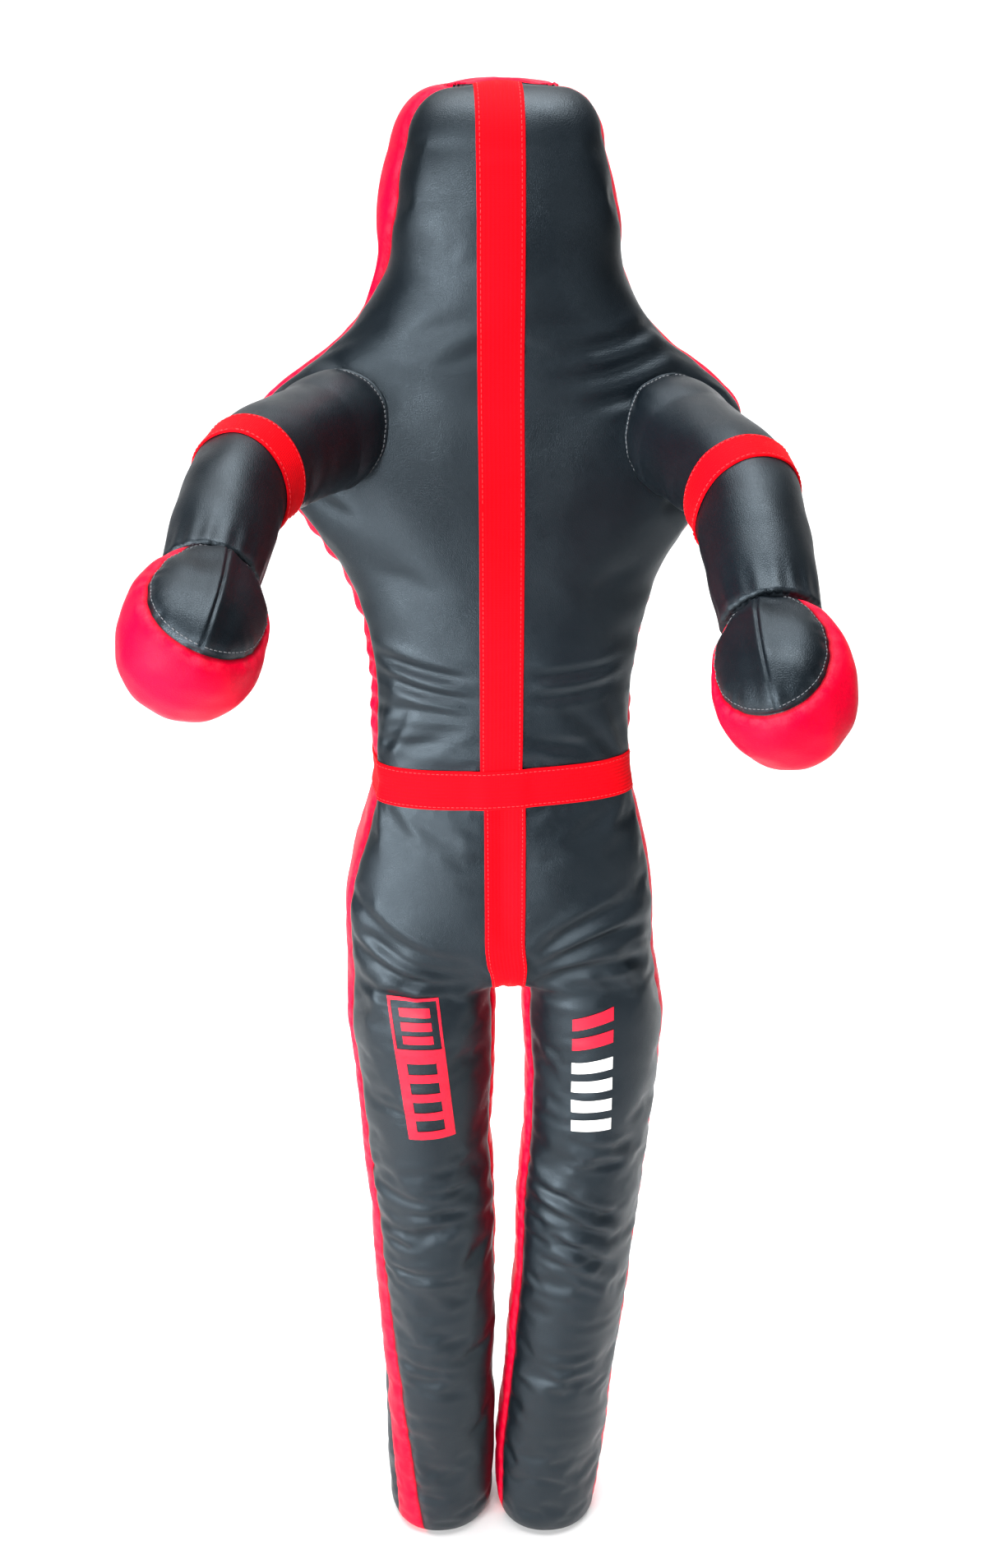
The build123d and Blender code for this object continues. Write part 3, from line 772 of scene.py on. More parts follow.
def thread(name, line, normals, finish, pitch=0.0050, radius=0.00042):
    """A row of stitches along a line of points that lies on a surface."""
    run = run_of(line)
    middles = np.arange(pitch, run[-1] - pitch / 2, pitch)
    spot = on_line(middles, run, line)
    up = on_line(middles, run, normals)
    along = units(on_line(middles + 0.001, run, line) - spot)
    side = np.cross(along, up)
    sections = [(-0.36, 0.25), (-0.28, 0.9), (0.0, 1.0), (0.28, 0.9), (0.36, 0.25)]
    sides = 6
    angles = np.linspace(0, 2 * math.pi, sides, endpoint=False)
    points, faces = [], []
    for k in range(len(spot)):
        start = len(points)
        for offset, size in sections:
            middle = spot[k] + along[k] * offset * pitch + up[k] * radius * 0.5 * size
            for a in angles:
                turn = math.cos(a) * side[k] + math.sin(a) * up[k]
                points.append(middle + turn * radius * size)
        for r in range(len(sections) - 1):
            a, b = start + r * sides, start + (r + 1) * sides
            for c in range(sides):
                d = (c + 1) % sides
                faces.append((a + c, a + d, b + d, b + c))
        faces.append(tuple(start + c for c in reversed(range(sides))))
        faces.append(tuple(len(points) - sides + c for c in range(sides)))
    obj = new_object(name, points, faces)
    obj.data.materials.append(finish)
    return obj


def on_surface(tree, path, centre_x, half_width, offsets):
    """A grid over a surface along a path in the plane of Y and Z: rows along, columns across in X."""
    path = np.asarray(path)
    tangent = units(np.gradient(path, axis=0))
    outward = np.stack([tangent[:, 1], -tangent[:, 0]], 1)
    depth = np.zeros((len(path), len(offsets)))
    for r, (spot, out) in enumerate(zip(path, outward)):
        for c, offset in enumerate(offsets):
            x = centre_x[r] + offset * half_width[r]
            origin = Vector((x, *(spot + out * 0.06)))
            hit = tree.ray_cast(origin, Vector((0, *(-out))), 0.12)
            depth[r, c] = 0.06 - hit[3] if hit[0] is not None else -0.004
    middle = np.median(depth, axis=1, keepdims=True)
    depth = np.where(np.abs(depth - middle) > 0.008, middle, depth)
    taut = np.stack([np.polyval(np.polyfit(offsets, row, 2), offsets) for row in depth])
    depth = np.maximum(smooth(np.maximum(taut, depth - 0.0005), 2.2), depth - 0.0005)
    x = centre_x[:, None] + half_width[:, None] * np.asarray(offsets)[None, :]
    y = path[:, :1] + outward[:, :1] * depth
    z = path[:, 1:] + outward[:, 1:] * depth
    return np.stack([x, y, z], 2)


# ---- Materials ----
class Shading:
    """A new node material with short ways to add nodes to it."""

    def __init__(self, name):
        self.material = bpy.data.materials.new(name)
        self.material.use_nodes = True
        self.nodes = self.material.node_tree.nodes
        self.links = self.material.node_tree.links
        self.shader = self.nodes["Principled BSDF"]
        self.place = self.nodes.new("ShaderNodeTexCoord").outputs["Object"]

    def shade(self, source, name):
        """Feeds one input of the shader from a socket."""
        self.links.new(source, self.shader.inputs[name])

    def feed(self, sockets, values):
        """Links each socket to a value's socket, or gives it a number or a colour."""
        for socket, value in zip(sockets, values):
            if isinstance(value, tuple):
                socket.default_value = (*value, 1)
            elif isinstance(value, (int, float)):
                socket.default_value = value
            else:
                self.links.new(value, socket)

    def attribute(self, name):
        node = self.nodes.new("ShaderNodeAttribute")
        node.attribute_name = name
        return node.outputs["Fac"]

    def noise(self, scale, detail, roughness=0.5):
        node = self.nodes.new("ShaderNodeTexNoise")
        node.inputs["Scale"].default_value = scale
        node.inputs["Detail"].default_value = detail
        node.inputs["Roughness"].default_value = roughness
        self.links.new(self.place, node.inputs["Vector"])
        return node.outputs[0]

    def ramp(self, source, *stops):
        """A colour ramp through (position, colour) stops, where a plain number is a grey."""
        node = self.nodes.new("ShaderNodeValToRGB")
        elements = node.color_ramp.elements
        while len(elements) < len(stops):
            elements.new(0.5)
        for element, (position, colour) in zip(elements, stops):
            element.position = position
            element.color = (*(colour if isinstance(colour, tuple) else grey(colour)), 1)
        self.links.new(source, node.inputs[0])
        return node.outputs["Color"]

    def maths(self, operation, *values):
        node = self.nodes.new("ShaderNodeMath")
        node.operation = operation
        self.feed(node.inputs, values)
        return node.outputs[0]

    def mixed(self, factor, first, second, kind="MIX"):
        node = self.nodes.new("ShaderNodeMix")
        node.data_type = "RGBA"
        node.blend_type = kind
        self.feed([node.inputs[0], node.inputs[6], node.inputs[7]], (factor, first, second))
        return node.outputs[2]

    def bumped(self, height, distance, strength, under=None):
        """The surface's direction after a bump, laid over an earlier one if there is one."""
        node = self.nodes.new("ShaderNodeBump")
        node.inputs["Strength"].default_value = strength
        node.inputs["Distance"].default_value = distance
        self.links.new(height, node.inputs["Height"])
        if under is not None:
            self.links.new(under, node.inputs["Normal"])
        return node.outputs["Normal"]


def grey(value):
    return (value, value, value)


def scaled(colour, factor):
    return tuple(min(1.0, c * factor) for c in colour)


def leather(name, colour, wear_and_sheen, rough, shine, tint):
    """Smooth coated leather: fine pebble grain, faint wrinkles, uneven tone, seam rims lightened by rubbed
    wear and a painted sheen, and painted shade in the seam grooves.
    """
    look = Shading(name)
    tone = look.ramp(look.noise(7.0, 4.0), (0.32, scaled(colour, 0.78)), (0.68, scaled(colour, 1.22)))
    speckle = look.ramp(look.noise(420.0, 2.0), (0.35, 0.88), (0.65, 1.0))
    tone = look.mixed(1.0, tone, speckle, "MULTIPLY")
    seam = look.attribute("seam")
    # Painted sheen together with rubbed wear: a lighter rim from about 2 to 11 mm beside each seam, made
    # patchy by noise.
    rub_and_sheen = look.ramp(seam, (0.0, 0.0), (0.0016, 0.0), (0.0042, 1.0), (0.011, 0.0))
    patchiness = look.ramp(look.noise(85.0, 5.0, 0.65), (0.42, 0.0), (0.66, 1.0))
    rub_and_sheen = look.maths("MULTIPLY", rub_and_sheen, patchiness)
    tone = look.mixed(look.maths("MULTIPLY", rub_and_sheen, 0.55), tone, wear_and_sheen)
    # Painted shade: the base colour is darkened within 1.4 mm of each seam, down in its groove.
    groove_shade = look.ramp(seam, (0.0, 0.25), (0.0014, 1.0))
    look.shade(look.mixed(1.0, tone, groove_shade, "MULTIPLY"), "Base Color")
    look.shade(look.ramp(look.noise(16.0, 5.0, 0.6), (0.3, rough - 0.07), (0.7, rough + 0.08)), "Roughness")

    pebbles = look.nodes.new("ShaderNodeTexVoronoi")
    pebbles.feature = "DISTANCE_TO_EDGE"
    pebbles.inputs["Scale"].default_value = 560.0
    look.links.new(look.place, pebbles.inputs["Vector"])
    cell = look.ramp(pebbles.outputs["Distance"], (0.0, 0.0), (0.16, 0.8), (0.5, 1.0))
    normal = look.bumped(cell, 0.00016, 0.55)
    normal = look.bumped(look.noise(130.0, 4.0, 0.62), 0.0006, 0.28, normal)
    normal = look.bumped(look.noise(38.0, 3.0), 0.0012, 0.22, normal)
    look.shade(normal, "Normal")
    look.shader.inputs["Specular IOR Level"].default_value = shine
    look.shader.inputs["Specular Tint"].default_value = (*tint, 1)
    return look.material


def webbing(name, colour):
    """Woven polyester webbing: fine ribs, broader stripes along it, and smooth selvedges."""
    look = Shading(name)
    across, along = look.attribute("across"), look.attribute("along")
    waves = []
    for run, pitch in ((along, RIB_PITCH), (across, CORD_PITCH), (across, STRIPE_PITCH)):
        waves.append(look.maths("SINE", look.maths("MULTIPLY", run, 2 * math.pi / pitch)))
    rib, cord, stripe = waves
    weave = look.maths("MULTIPLY", look.maths("MULTIPLY", rib, cord), 0.6)
    weave = look.maths("ADD", weave, look.maths("MULTIPLY", rib, 0.5))
    weave = look.maths("ADD", weave, look.maths("MULTIPLY", stripe, 0.6))
    weave = look.maths("MULTIPLY_ADD", weave, 0.28, 0.5)
    edge = look.maths("MULTIPLY", look.maths("ABSOLUTE", across), 10.0)
    selvedge = look.ramp(edge, (0.192, 0.0), (0.200, 1.0))
    tone = look.ramp(weave, (0.12, scaled(colour, 0.58)), (0.58, colour))
    tone = look.mixed(selvedge, tone, scaled(colour, 0.86))
    wear = look.ramp(look.noise(22.0, 5.0), (0.35, 0.86), (0.65, 1.0))
    look.shade(look.mixed(1.0, tone, wear, "MULTIPLY"), "Base Color")
    normal = look.bumped(look.mixed(selvedge, weave, grey(0.75)), 0.00045, 0.8)
    look.shade(look.bumped(look.noise(1600.0, 2.0), 0.0002, 0.3, normal), "Normal")
    look.shader.inputs["Roughness"].default_value = 0.7
    look.shader.inputs["Specular IOR Level"].default_value = 0.05
    look.shader.inputs["Sheen Weight"].default_value = 0.02
    look.shader.inputs["Sheen Roughness"].default_value = 0.4
    return look.material


def metal(name, colour):
    """Nickel plate with fine scratches."""
    look = Shading(name)
    scratch = look.noise(260.0, 6.0, 0.7)
    look.shade(look.ramp(scratch, (0.3, scaled(colour, 0.7)), (0.7, colour)), "Base Color")
    look.shade(look.ramp(scratch, (0.3, 0.42), (0.7, 0.24)), "Roughness")
    look.shade(look.bumped(scratch, 0.0001, 0.25), "Normal")
    look.shader.inputs["Metallic"].default_value = 1.0
    return look.material


def thread_finish(name, colour):
    """Bonded sewing thread with a fine twist."""
    look = Shading(name)
    twist = look.noise(2600.0, 1.0)
    look.shade(look.ramp(twist, (0.4, scaled(colour, 0.7)), (0.6, colour)), "Base Color")
    look.shade(look.bumped(twist, 0.0001, 0.6), "Normal")
    look.shader.inputs["Roughness"].default_value = 0.5
    return look.material


def print_film(name, colour):
    """A thin printed film that cracks a little where the leather creases."""
    look = Shading(name)
    crack = look.noise(150.0, 6.0, 0.7)
    tone = look.ramp(crack, (0.33, scaled(colour, 0.55)), (0.42, scaled(colour, 0.92)), (0.75, colour))
    look.shade(tone, "Base Color")
    look.shade(look.bumped(crack, 0.0003, 0.3), "Normal")
    look.shader.inputs["Roughness"].default_value = 0.42
    look.shader.inputs["Specular IOR Level"].default_value = 0.2
    return look.material


def floor_paint(name):
    """A pale, dull floor with a faint mottle."""
    look = Shading(name)
    look.shade(look.ramp(look.noise(2.0, 3.0), (0.3, 0.90), (0.7, 0.94)), "Base Color")
    look.shader.inputs["Roughness"].default_value = 0.9
    look.shader.inputs["Specular IOR Level"].default_value = 0.1
    return look.material


# The second colour of each leather is that of its seam rims, lightened by rubbed wear and by a painted sheen.
BLACK_TONE, BLACK_WEAR_AND_SHEEN, BLACK_TINT = (0.0022, 0.0042, 0.0066), (0.045, 0.054, 0.063), (0.70, 0.87, 1.0)
RED_TONE, RED_WEAR_AND_SHEEN, RED_TINT = (0.98, 0.0005, 0.030), (1.0, 0.05, 0.09), (1.0, 0.7, 0.8)
BLACK = leather("black_leather", BLACK_TONE, BLACK_WEAR_AND_SHEEN, 0.41, 0.46, BLACK_TINT)
RED = leather("red_leather", RED_TONE, RED_WEAR_AND_SHEEN, 0.44, 0.10, RED_TINT)
RED_WEB = webbing("red_webbing", (0.90, 0.0006, 0.0075))
RED_THREAD = thread_finish("red_thread", (0.85, 0.02, 0.03))
BLACK_THREAD = thread_finish("black_thread", (0.15, 0.16, 0.175))
ZIP_TAPE = thread_finish("zip_tape", (0.02, 0.02, 0.024))
ZIP_METAL = metal("zip_metal", (0.72, 0.72, 0.70))
RED_PRINT = print_film("red_print", (0.86, 0.012, 0.035))
WHITE_PRINT = print_film("white_print", (0.92, 0.92, 0.90))


# ---- Camera, light and floor ----
def aimed(place, aim):
    """The rotation that turns a camera or a lamp at a place towards its aim."""
    return (Vector(aim) - Vector(place)).to_track_quat("-Z", "Y").to_euler()


def studio():
    """The camera, the lights and the faint light from all round."""
    scene = bpy.context.scene
    scene.view_settings.view_transform = "Standard"
    data = bpy.data.cameras.new("camera")
    data.lens = 33.0
    data.sensor_width = 36.0
    camera = bpy.data.objects.new("camera", data)
    camera.location = CAMERA_AT
    camera.rotation_euler = aimed(CAMERA_AT, CAMERA_AIM)
    scene.collection.objects.link(camera)
    scene.camera = camera

    world = bpy.data.worlds.new("studio")
    world.use_nodes = True
    world.node_tree.nodes["Background"].inputs["Color"].default_value = (1, 1, 1, 1)
    world.node_tree.nodes["Background"].inputs["Strength"].default_value = 0.07
    scene.world = world
    for name, place, aim, size, power, spread in LIGHTS:
        lamp = bpy.data.lights.new(name, "AREA")
        lamp.shape = "RECTANGLE"
        lamp.size, lamp.size_y = size
        lamp.energy = power
        lamp.spread = math.radians(spread)
        light = bpy.data.objects.new(name, lamp)
        light.location = place
        light.rotation_euler = aimed(place, aim)
        scene.collection.objects.link(light)


def backdrop():
    """A pale floor that curves up into the wall behind."""
    reach, wall, wall_top, radius, arc_steps = 9.0, 3.2, 6.0, 1.4, 16
    line = [(-reach, 0.0), (wall - radius, 0.0)]
    for k in range(1, arc_steps + 1):
        a = k / arc_steps * math.pi / 2
        line.append((wall - radius + radius * math.sin(a), radius - radius * math.cos(a)))
    line.append((wall, wall_top))
    points = [(x, y, z) for y, z in line for x in (-reach, reach)]
    faces = [(2 * k, 2 * k + 1, 2 * k + 3, 2 * k + 2) for k in range(len(line) - 1)]
    floor = new_object("studio_floor", points, faces)
    floor.data.materials.append(floor_paint("pale_floor"))


studio()
backdrop()


# ---- Trunk and legs ----
def finished_skin(obj, seed, folds, pressure, slack, cap):
    """Stuffs a skin, then works its seams, creases and unevenness into the mesh."""
    seam = tag_of(obj.data, "seam")
    up = points_of(obj.data)[:, 2]
    ends = step(-np.abs(up - BELT_Z), -0.035, -0.008)
    sole = step(-up, -0.03, -0.012)
    pinned = np.clip(np.maximum.reduce([step(-seam, -0.004, -0.001), ends, sole]), 0, 1)
    sideways = step(np.abs(normals_of(obj.data)[:, 0]), 0.75, 0.97)
    simulate(obj, pinned, pressure, slack, cap * (1 - 0.7 * sideways))
    subdivided(obj)
    mesh = obj.data
    co, normals = points_of(mesh), normals_of(mesh)
    seam, seam_id = tag_of(mesh, "seam"), tag_of(mesh, "seam_id")
    shift = 0.0011 * lumps(co, 0.17, seed) + 0.0005 * lumps(co, 0.06, seed + 1)
    shift -= SEAM_GROOVE * np.exp(-((seam / SEAM_WIDTH) ** 2))
    shift -= 0.0012 * np.exp(-((seam / 0.0022) ** 2))
    shift += folds(mesh, co, normals, seam, seam_id)
    shift *= step(co[:, 2], 0.004, 0.03)
    co += normals * shift[:, None]
    co[:, 2] = np.maximum(co[:, 2], 0)
    set_points(mesh, co)


def strip_share(mesh, panels):
    """1 on the points inside the side strips, 0 on the panels and half way on the seams."""
    member = np.isin(tag_of(mesh, "panel"), panels).astype(float)
    corners = np.empty(len(mesh.loops), int)
    mesh.loops.foreach_get("vertex_index", corners)
    corners = corners.reshape(-1, 4)
    total, count = np.zeros(len(mesh.vertices)), np.zeros(len(mesh.vertices))
    for k in range(4):
        np.add.at(total, corners[:, k], member)
        np.add.at(count, corners[:, k], 1)
    return total / count


def facing(normals, front):
    """1 on the faces towards the front (or the back), fading to 0 at the sides."""
    toward = -normals[:, 1] if front else normals[:, 1]
    return step(toward, 0.0, 0.35)


def drawn_folds(co, normals, table):
    """The creases of a table, each on its own side of the body."""
    total = np.zeros(len(co))
    for front, start, end, bow, width, depth in table:
        total += facing(normals, front) * fold(co[:, 0], co[:, 2], start, end, bow, width, depth)
    return total


def trunk_folds(mesh, co, normals, seam, seam_id):
    """Creases, seam puckers, scalloped side gussets and the belt's pinch of the trunk."""
    up = co[:, 2]
    total = drawn_folds(co, normals, TRUNK_FOLDS)
    strap = np.exp(-(((co[:, 0] - STRAP_X) / 0.034) ** 4))
    random = np.random.default_rng(11)
    for which in range(4):
        for low, high, count, depth in SEAM_PUCKERS:
            seed = int(random.integers(1, 9999))
            total += puckers(seam, seam_id, up, which, low, high, count, seed, depth=depth)
    total *= step(np.abs(normals[:, 1]), 0.05, 0.6)
    strip = strip_share(mesh, (LEFT_STRIP, RIGHT_STRIP))
    beads = np.abs(np.sin(math.pi * up / SCALLOP_PITCH + 0.9 * np.sin(up * 31)))
    scallop = SCALLOP_DEPTH * (beads - 0.35) * step(up, 1.13, 1.18) * step(-up, -1.44, -1.36)
    scallop = scallop * np.where(normals[:, 0] < 0, 1.0, 0.35)
    total += strip * scallop * np.exp(-(((seam - 0.010) / 0.012) ** 2))
    total -= BELT_CINCH * np.exp(-(((up - BELT_Z) / 0.030) ** 2))
    return total * (1 - 0.85 * strap * (normals[:, 1] < 0))


def ripples(co, normals, centre, random):
    """Long shallow creases that lie nearly level across a leg."""
    total = np.zeros(len(co))
    for low, high, count, depth in LEG_RIPPLES:
        for number in range(2 * count):
            z = low + (high - low) * (number // 2 + random.uniform(0.1, 0.9)) / count
            start = centre + random.uniform(-0.075, -0.02)
            end = start + random.uniform(0.06, 0.10)
            rise, bow = random.uniform(-0.010, 0.010), random.uniform(-0.007, 0.007)
            size = depth * random.uniform(0.5, 1.3)
            width = random.uniform(0.004, 0.007)
            shape = fold(co[:, 0], co[:, 2], (start, z), (end, z + rise), bow, width, size)
            total += facing(normals, number % 2 == 0) * shape
    return total


def leg_folds(side):
    """The same for one leg and its half of the hips, without scallops."""

    def folds(mesh, co, normals, seam, seam_id):
        up = co[:, 2]
        total = drawn_folds(co, normals, LEG_FOLDS[side])
        random = np.random.default_rng(23 if side == "right" else 37)
        for which in range(4):
            for low, high, count, depth in LEG_PUCKERS:
                seed = int(random.integers(1, 9999))
                sizes = {"length": (0.025, 0.085), "depth": depth, "width": 0.0085}
                total += puckers(seam, seam_id, up, which, low, high, count, seed, **sizes)
        total += ripples(co, normals, outline(leg_nodes(side), [0.1, 0.4, 0.7])[:, 0].mean(), random)
        total *= step(np.abs(normals[:, 1]), 0.05, 0.6)
        total -= BELT_CINCH * np.exp(-(((up - BELT_Z) / 0.030) ** 2))
        strap = np.exp(-(((co[:, 0] - STRAP_X) / 0.030) ** 4)) * step(up, 0.86, 0.90)
        return total * (1 - 0.85 * strap)

    return folds


def press_for_zip():
    """Presses the trunk's back flat where the zip's tapes lie."""
    flat_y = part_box("back_zip_chain")[0].y - 0.0008
    co = points_of(trunk.data)
    near_x = step(-np.abs(co[:, 0] - STRAP_X), -0.030, -0.012)
    near_z = step(-np.abs(co[:, 2] - ZIP_MIDDLE), -0.125, -0.095)
    behind = near_x * near_z * (co[:, 1] > TRUNK_Y)
    co[:, 1] += behind * (flat_y - co[:, 1])
    set_points(trunk.data, co)


trunk = trunk_skin()
finished_skin(trunk, 3, trunk_folds, *TRUNK_STUFFING)
press_for_zip()
halves = {}
for side in SIDES:
    halves[side] = half_skin(side)
    finished_skin(halves[side], HALF_SEED[side], leg_folds(side), *HALF_STUFFING)


def soft(nodes):
    """Hides the CAD nodes that one padded leather piece stands for."""
    if nodes:
        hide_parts(*nodes)


def tagged(obj, panels, zone):
    return np.isin(tag_of(obj.data, "panel"), panels) & (tag_of(obj.data, "zone") == zone)


TRUNK_PIECES = [  # name, panels, zone (0 upper, 1 lower), leather, CAD nodes
    ("chest_front", [FRONT], 0, BLACK, ["head_front_panel", "head_filling", "neck_fold"]),
    ("chest_back", [BACK], 0, BLACK, ["head_back_panel"]),
    ("head_side_gusset", [LEFT_STRIP, RIGHT_STRIP], 0, RED, ["head_gusset"]),
    ("torso_front", [FRONT], 1, BLACK, ["torso_front_panel", "torso_filling", "waist_fold"]),
    ("torso_back", [BACK], 1, BLACK, ["torso_back_panel"]),
    ("torso_side_gussets", [LEFT_STRIP, RIGHT_STRIP], 1, RED, ["torso_side_strips"]),
]
for name, panels, zone, finish, nodes in TRUNK_PIECES:
    piece = cut(trunk, name, tagged(trunk, panels, zone), finish)
    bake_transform(piece)
    soft(nodes)

HALF_PIECES = [  # the same for one leg and its half of the hips, without its side's name
    ("thigh_front", [FRONT], 0, BLACK, ["thigh_front_panel", "thigh_filling", "hip_fold"]),
    ("thigh_back", [BACK], 0, BLACK, ["thigh_back_panel"]),
    ("thigh_gussets", [INNER, OUTER], 0, RED, ["thigh_side_strips"]),
    ("shin_front", [FRONT], 1, BLACK, ["shin_front_panel", "shin_filling", "knee_fold"]),
    ("shin_back", [BACK], 1, BLACK, ["shin_back_panel"]),
    ("shin_side_strip_and_sole", [INNER, OUTER], 1, RED, ["shin_side_strip"]),
]
HIP_NODES = {  # the nodes of the hips are named once, with the right half
    "thigh_front": ["hips_front_panel", "hips_filling"],
    "thigh_back": ["hips_back_panel"],
    "thigh_gussets": ["hips_side_strips"],
}


for side in SIDES:
    skin = halves[side]
    middles = np.array([p.center[2] for p in skin.data.polygons])
    hidden = (tag_of(skin.data, "panel") == INNER) & (middles > INNER_TOP)
    for name, panels, zone, finish, nodes in HALF_PIECES:
        piece = cut(skin, f"{side}_{name}", tagged(skin, panels, zone) & ~hidden, finish)
        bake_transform(piece)
        stands_for = [f"{side}_{n}" for n in nodes]
        if side == "right":
            stands_for += HIP_NODES.get(name, [])
        soft(stands_for)

# ---- Webbing on the body ----
body_tree = tree_of(trunk, *halves.values())
ACROSS = np.array([-1.0, -0.96, -0.66, -0.33, 0.0, 0.33, 0.66, 0.96, 1.0])  # in half widths


def front_path(heights):
    """Where the front of the trunk's CAD lies in the plane of Y and Z, at some heights."""
    rows = outline(TRUNK_NODES, heights)
    return [(row[2] - row[3], z) for row, z in zip(rows, heights)]


def strap_grid(path, half_widths, shift=0.0):
    """A grid of points for the centre strap over the finished body, with its outward normals."""
    path = np.array(path)
    grid = on_surface(body_tree, path, np.full(len(path), STRAP_X) + shift, half_widths, ACROSS)
    return grid, -grid_normals(grid, False)


def edge_stitches(name, top, normal, loop):
    """The two rows of stitches along a piece of webbing."""
    rows = []
    for column in STITCH_COLUMNS:
        line = top[:, column] * 0.88 + top[:, 4] * 0.12
        flow = normal[:, column]
        if loop:
            line, flow = np.concatenate([line, line[:1]]), np.concatenate([flow, flow[:1]])
        rows.append(thread(f"{name}_stitches_{column % len(ACROSS)}", line, flow, RED_THREAD))
    return rows


def body_strap(name, grid, normal, node):
    """A stretch of the centre strap with its two rows of stitches."""
    strap, top, normal = slab(name, grid, RED_WEB, 0.0002, WEBBING_THICK, flip=True, normal=normal)
    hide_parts(node)
    return [strap, *edge_stitches(name, top, normal, False)]


def dome_path(base_y, base_z, base_count):
    """The way from the crown seam down the front of the head's dome."""
    path = []
    low = CROWN_SEAM + CROWN_LEDGE
    for k in range(base_count, 0, -1):
        rise = math.sin(0.5 * math.pi * k / (base_count + 0.8))
        depth = low + (TRUNK_Y - base_y - low) * math.sqrt(1 - rise * rise)
        path.append((TRUNK_Y - depth, base_z + CROWN_RISE * rise))
    return path


def upper_strap():
    """The centre strap down the front, from the crown to the middle of the belt."""
    path = front_path(np.arange(trunk_high - CROWN_RISE, BELT_Z, -0.005))
    path = dome_path(*path[0], 14) + path
    grid, normal = strap_grid(path, np.full(len(path), WEBBING / 2))
    split = int(np.argmin(np.abs(grid[:, 4, 2] - SPLIT_CHEST)))
    for piece in body_strap("head_webbing", grid[: split + 1], normal[: split + 1], "head_strap"):
        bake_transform(piece)
    for piece in body_strap("torso_webbing", grid[split:], normal[split:], "centre_strap_upper"):
        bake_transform(piece)


def lower_strap():
    """The centre strap from the belt down, narrowed under the crotch and up the back to the belt."""
    heights = np.arange(BELT_Z, 0.893, -0.005)
    down_path = front_path(heights)
    turn_z, turn_y = heights[-1], down_path[-1][0]
    half_turn = TRUNK_Y - turn_y
    under = []
    for a in np.linspace(0, math.pi, 46)[1:-1]:
        c, d = math.cos(a), math.sin(a)
        y = TRUNK_Y - half_turn * math.copysign(abs(c) ** 0.8, c)
        under.append((y, turn_z - (turn_z - CROTCH_STRAP_Z) * abs(d) ** 0.8))
    up_path = [(2 * TRUNK_Y - y, z) for y, z in reversed(down_path)]
    path = down_path + under + up_path
    low_share = np.array([step(-z, -0.905, -0.855) for y, z in path])
    narrowed = WEBBING / 2 + (CROTCH_STRAP_WIDTH - WEBBING) / 2 * low_share
    drift = np.array([0.4 + 0.6 * step(-z, -0.935, -0.865) for y, z in path])
    grid, normal = strap_grid(path, narrowed, CROTCH_STRAP_SHIFT * drift)
    for piece in body_strap("hips_webbing", grid, normal, "centre_strap_lower"):
        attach(piece, "hips")


def belt():
    """The waist belt: a taut loop round the body, over the centre strap."""
    count, start, search = 200, 0.35, 0.30
    cx, hw, cy, _ = outline(TRUNK_NODES, [BELT_Z])[0]
    angles = np.linspace(0, 2 * math.pi, count, endpoint=False)
    reach, heights = np.zeros((count, len(ACROSS))), np.zeros((count, len(ACROSS)))
    for k, a in enumerate(angles):
        out = Vector((math.cos(a), math.sin(a), 0))
        for c, offset in enumerate(ACROSS):
            z = BELT_Z + BELT_TILT * math.cos(a) * hw + offset * WEBBING / 2
            for nudge in (0.0, 0.0015, -0.0015, 0.003, -0.003):
                hit = body_tree.ray_cast(Vector((cx, cy, z + nudge)) + out * start, -out, search)
                if hit[0] is not None:
                    break
            reach[k, c], heights[k, c] = start - hit[3], z
    nearby = np.stack([np.roll(reach, k, axis=0) for k in range(-5, 6)])
    reach = np.maximum(reach, np.median(nearby, axis=0))
    reach = np.maximum(reach, smooth_loop(reach, 3.0))
    over_strap = np.exp(-(((np.cos(angles) * reach[:, 4] + cx - STRAP_X) / 0.028) ** 6))
    reach = reach + (0.0024 * over_strap)[:, None]
    x = cx + np.cos(angles)[:, None] * reach
    y = cy + np.sin(angles)[:, None] * reach
    grid = np.stack([x, y, heights], 2)
    strap, top, normal = slab("waist_webbing", grid, RED_WEB, 0.0003, WEBBING_THICK, loop=True, flip=True)
    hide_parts("waist_belt")
    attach(strap, "hips")
    for row in edge_stitches("waist_webbing", top, normal, True):
        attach(row, "hips")


upper_strap()
lower_strap()
belt()


# ---- Prints on the thighs ----
def spot_in(corners, u, t):
    """The point at shares u across and t up a quad of low left, low right, high right, high left."""
    a, b, c, d = corners
    return (a * (1 - u) + b * u) * (1 - t) + (d * (1 - u) + c * u) * t


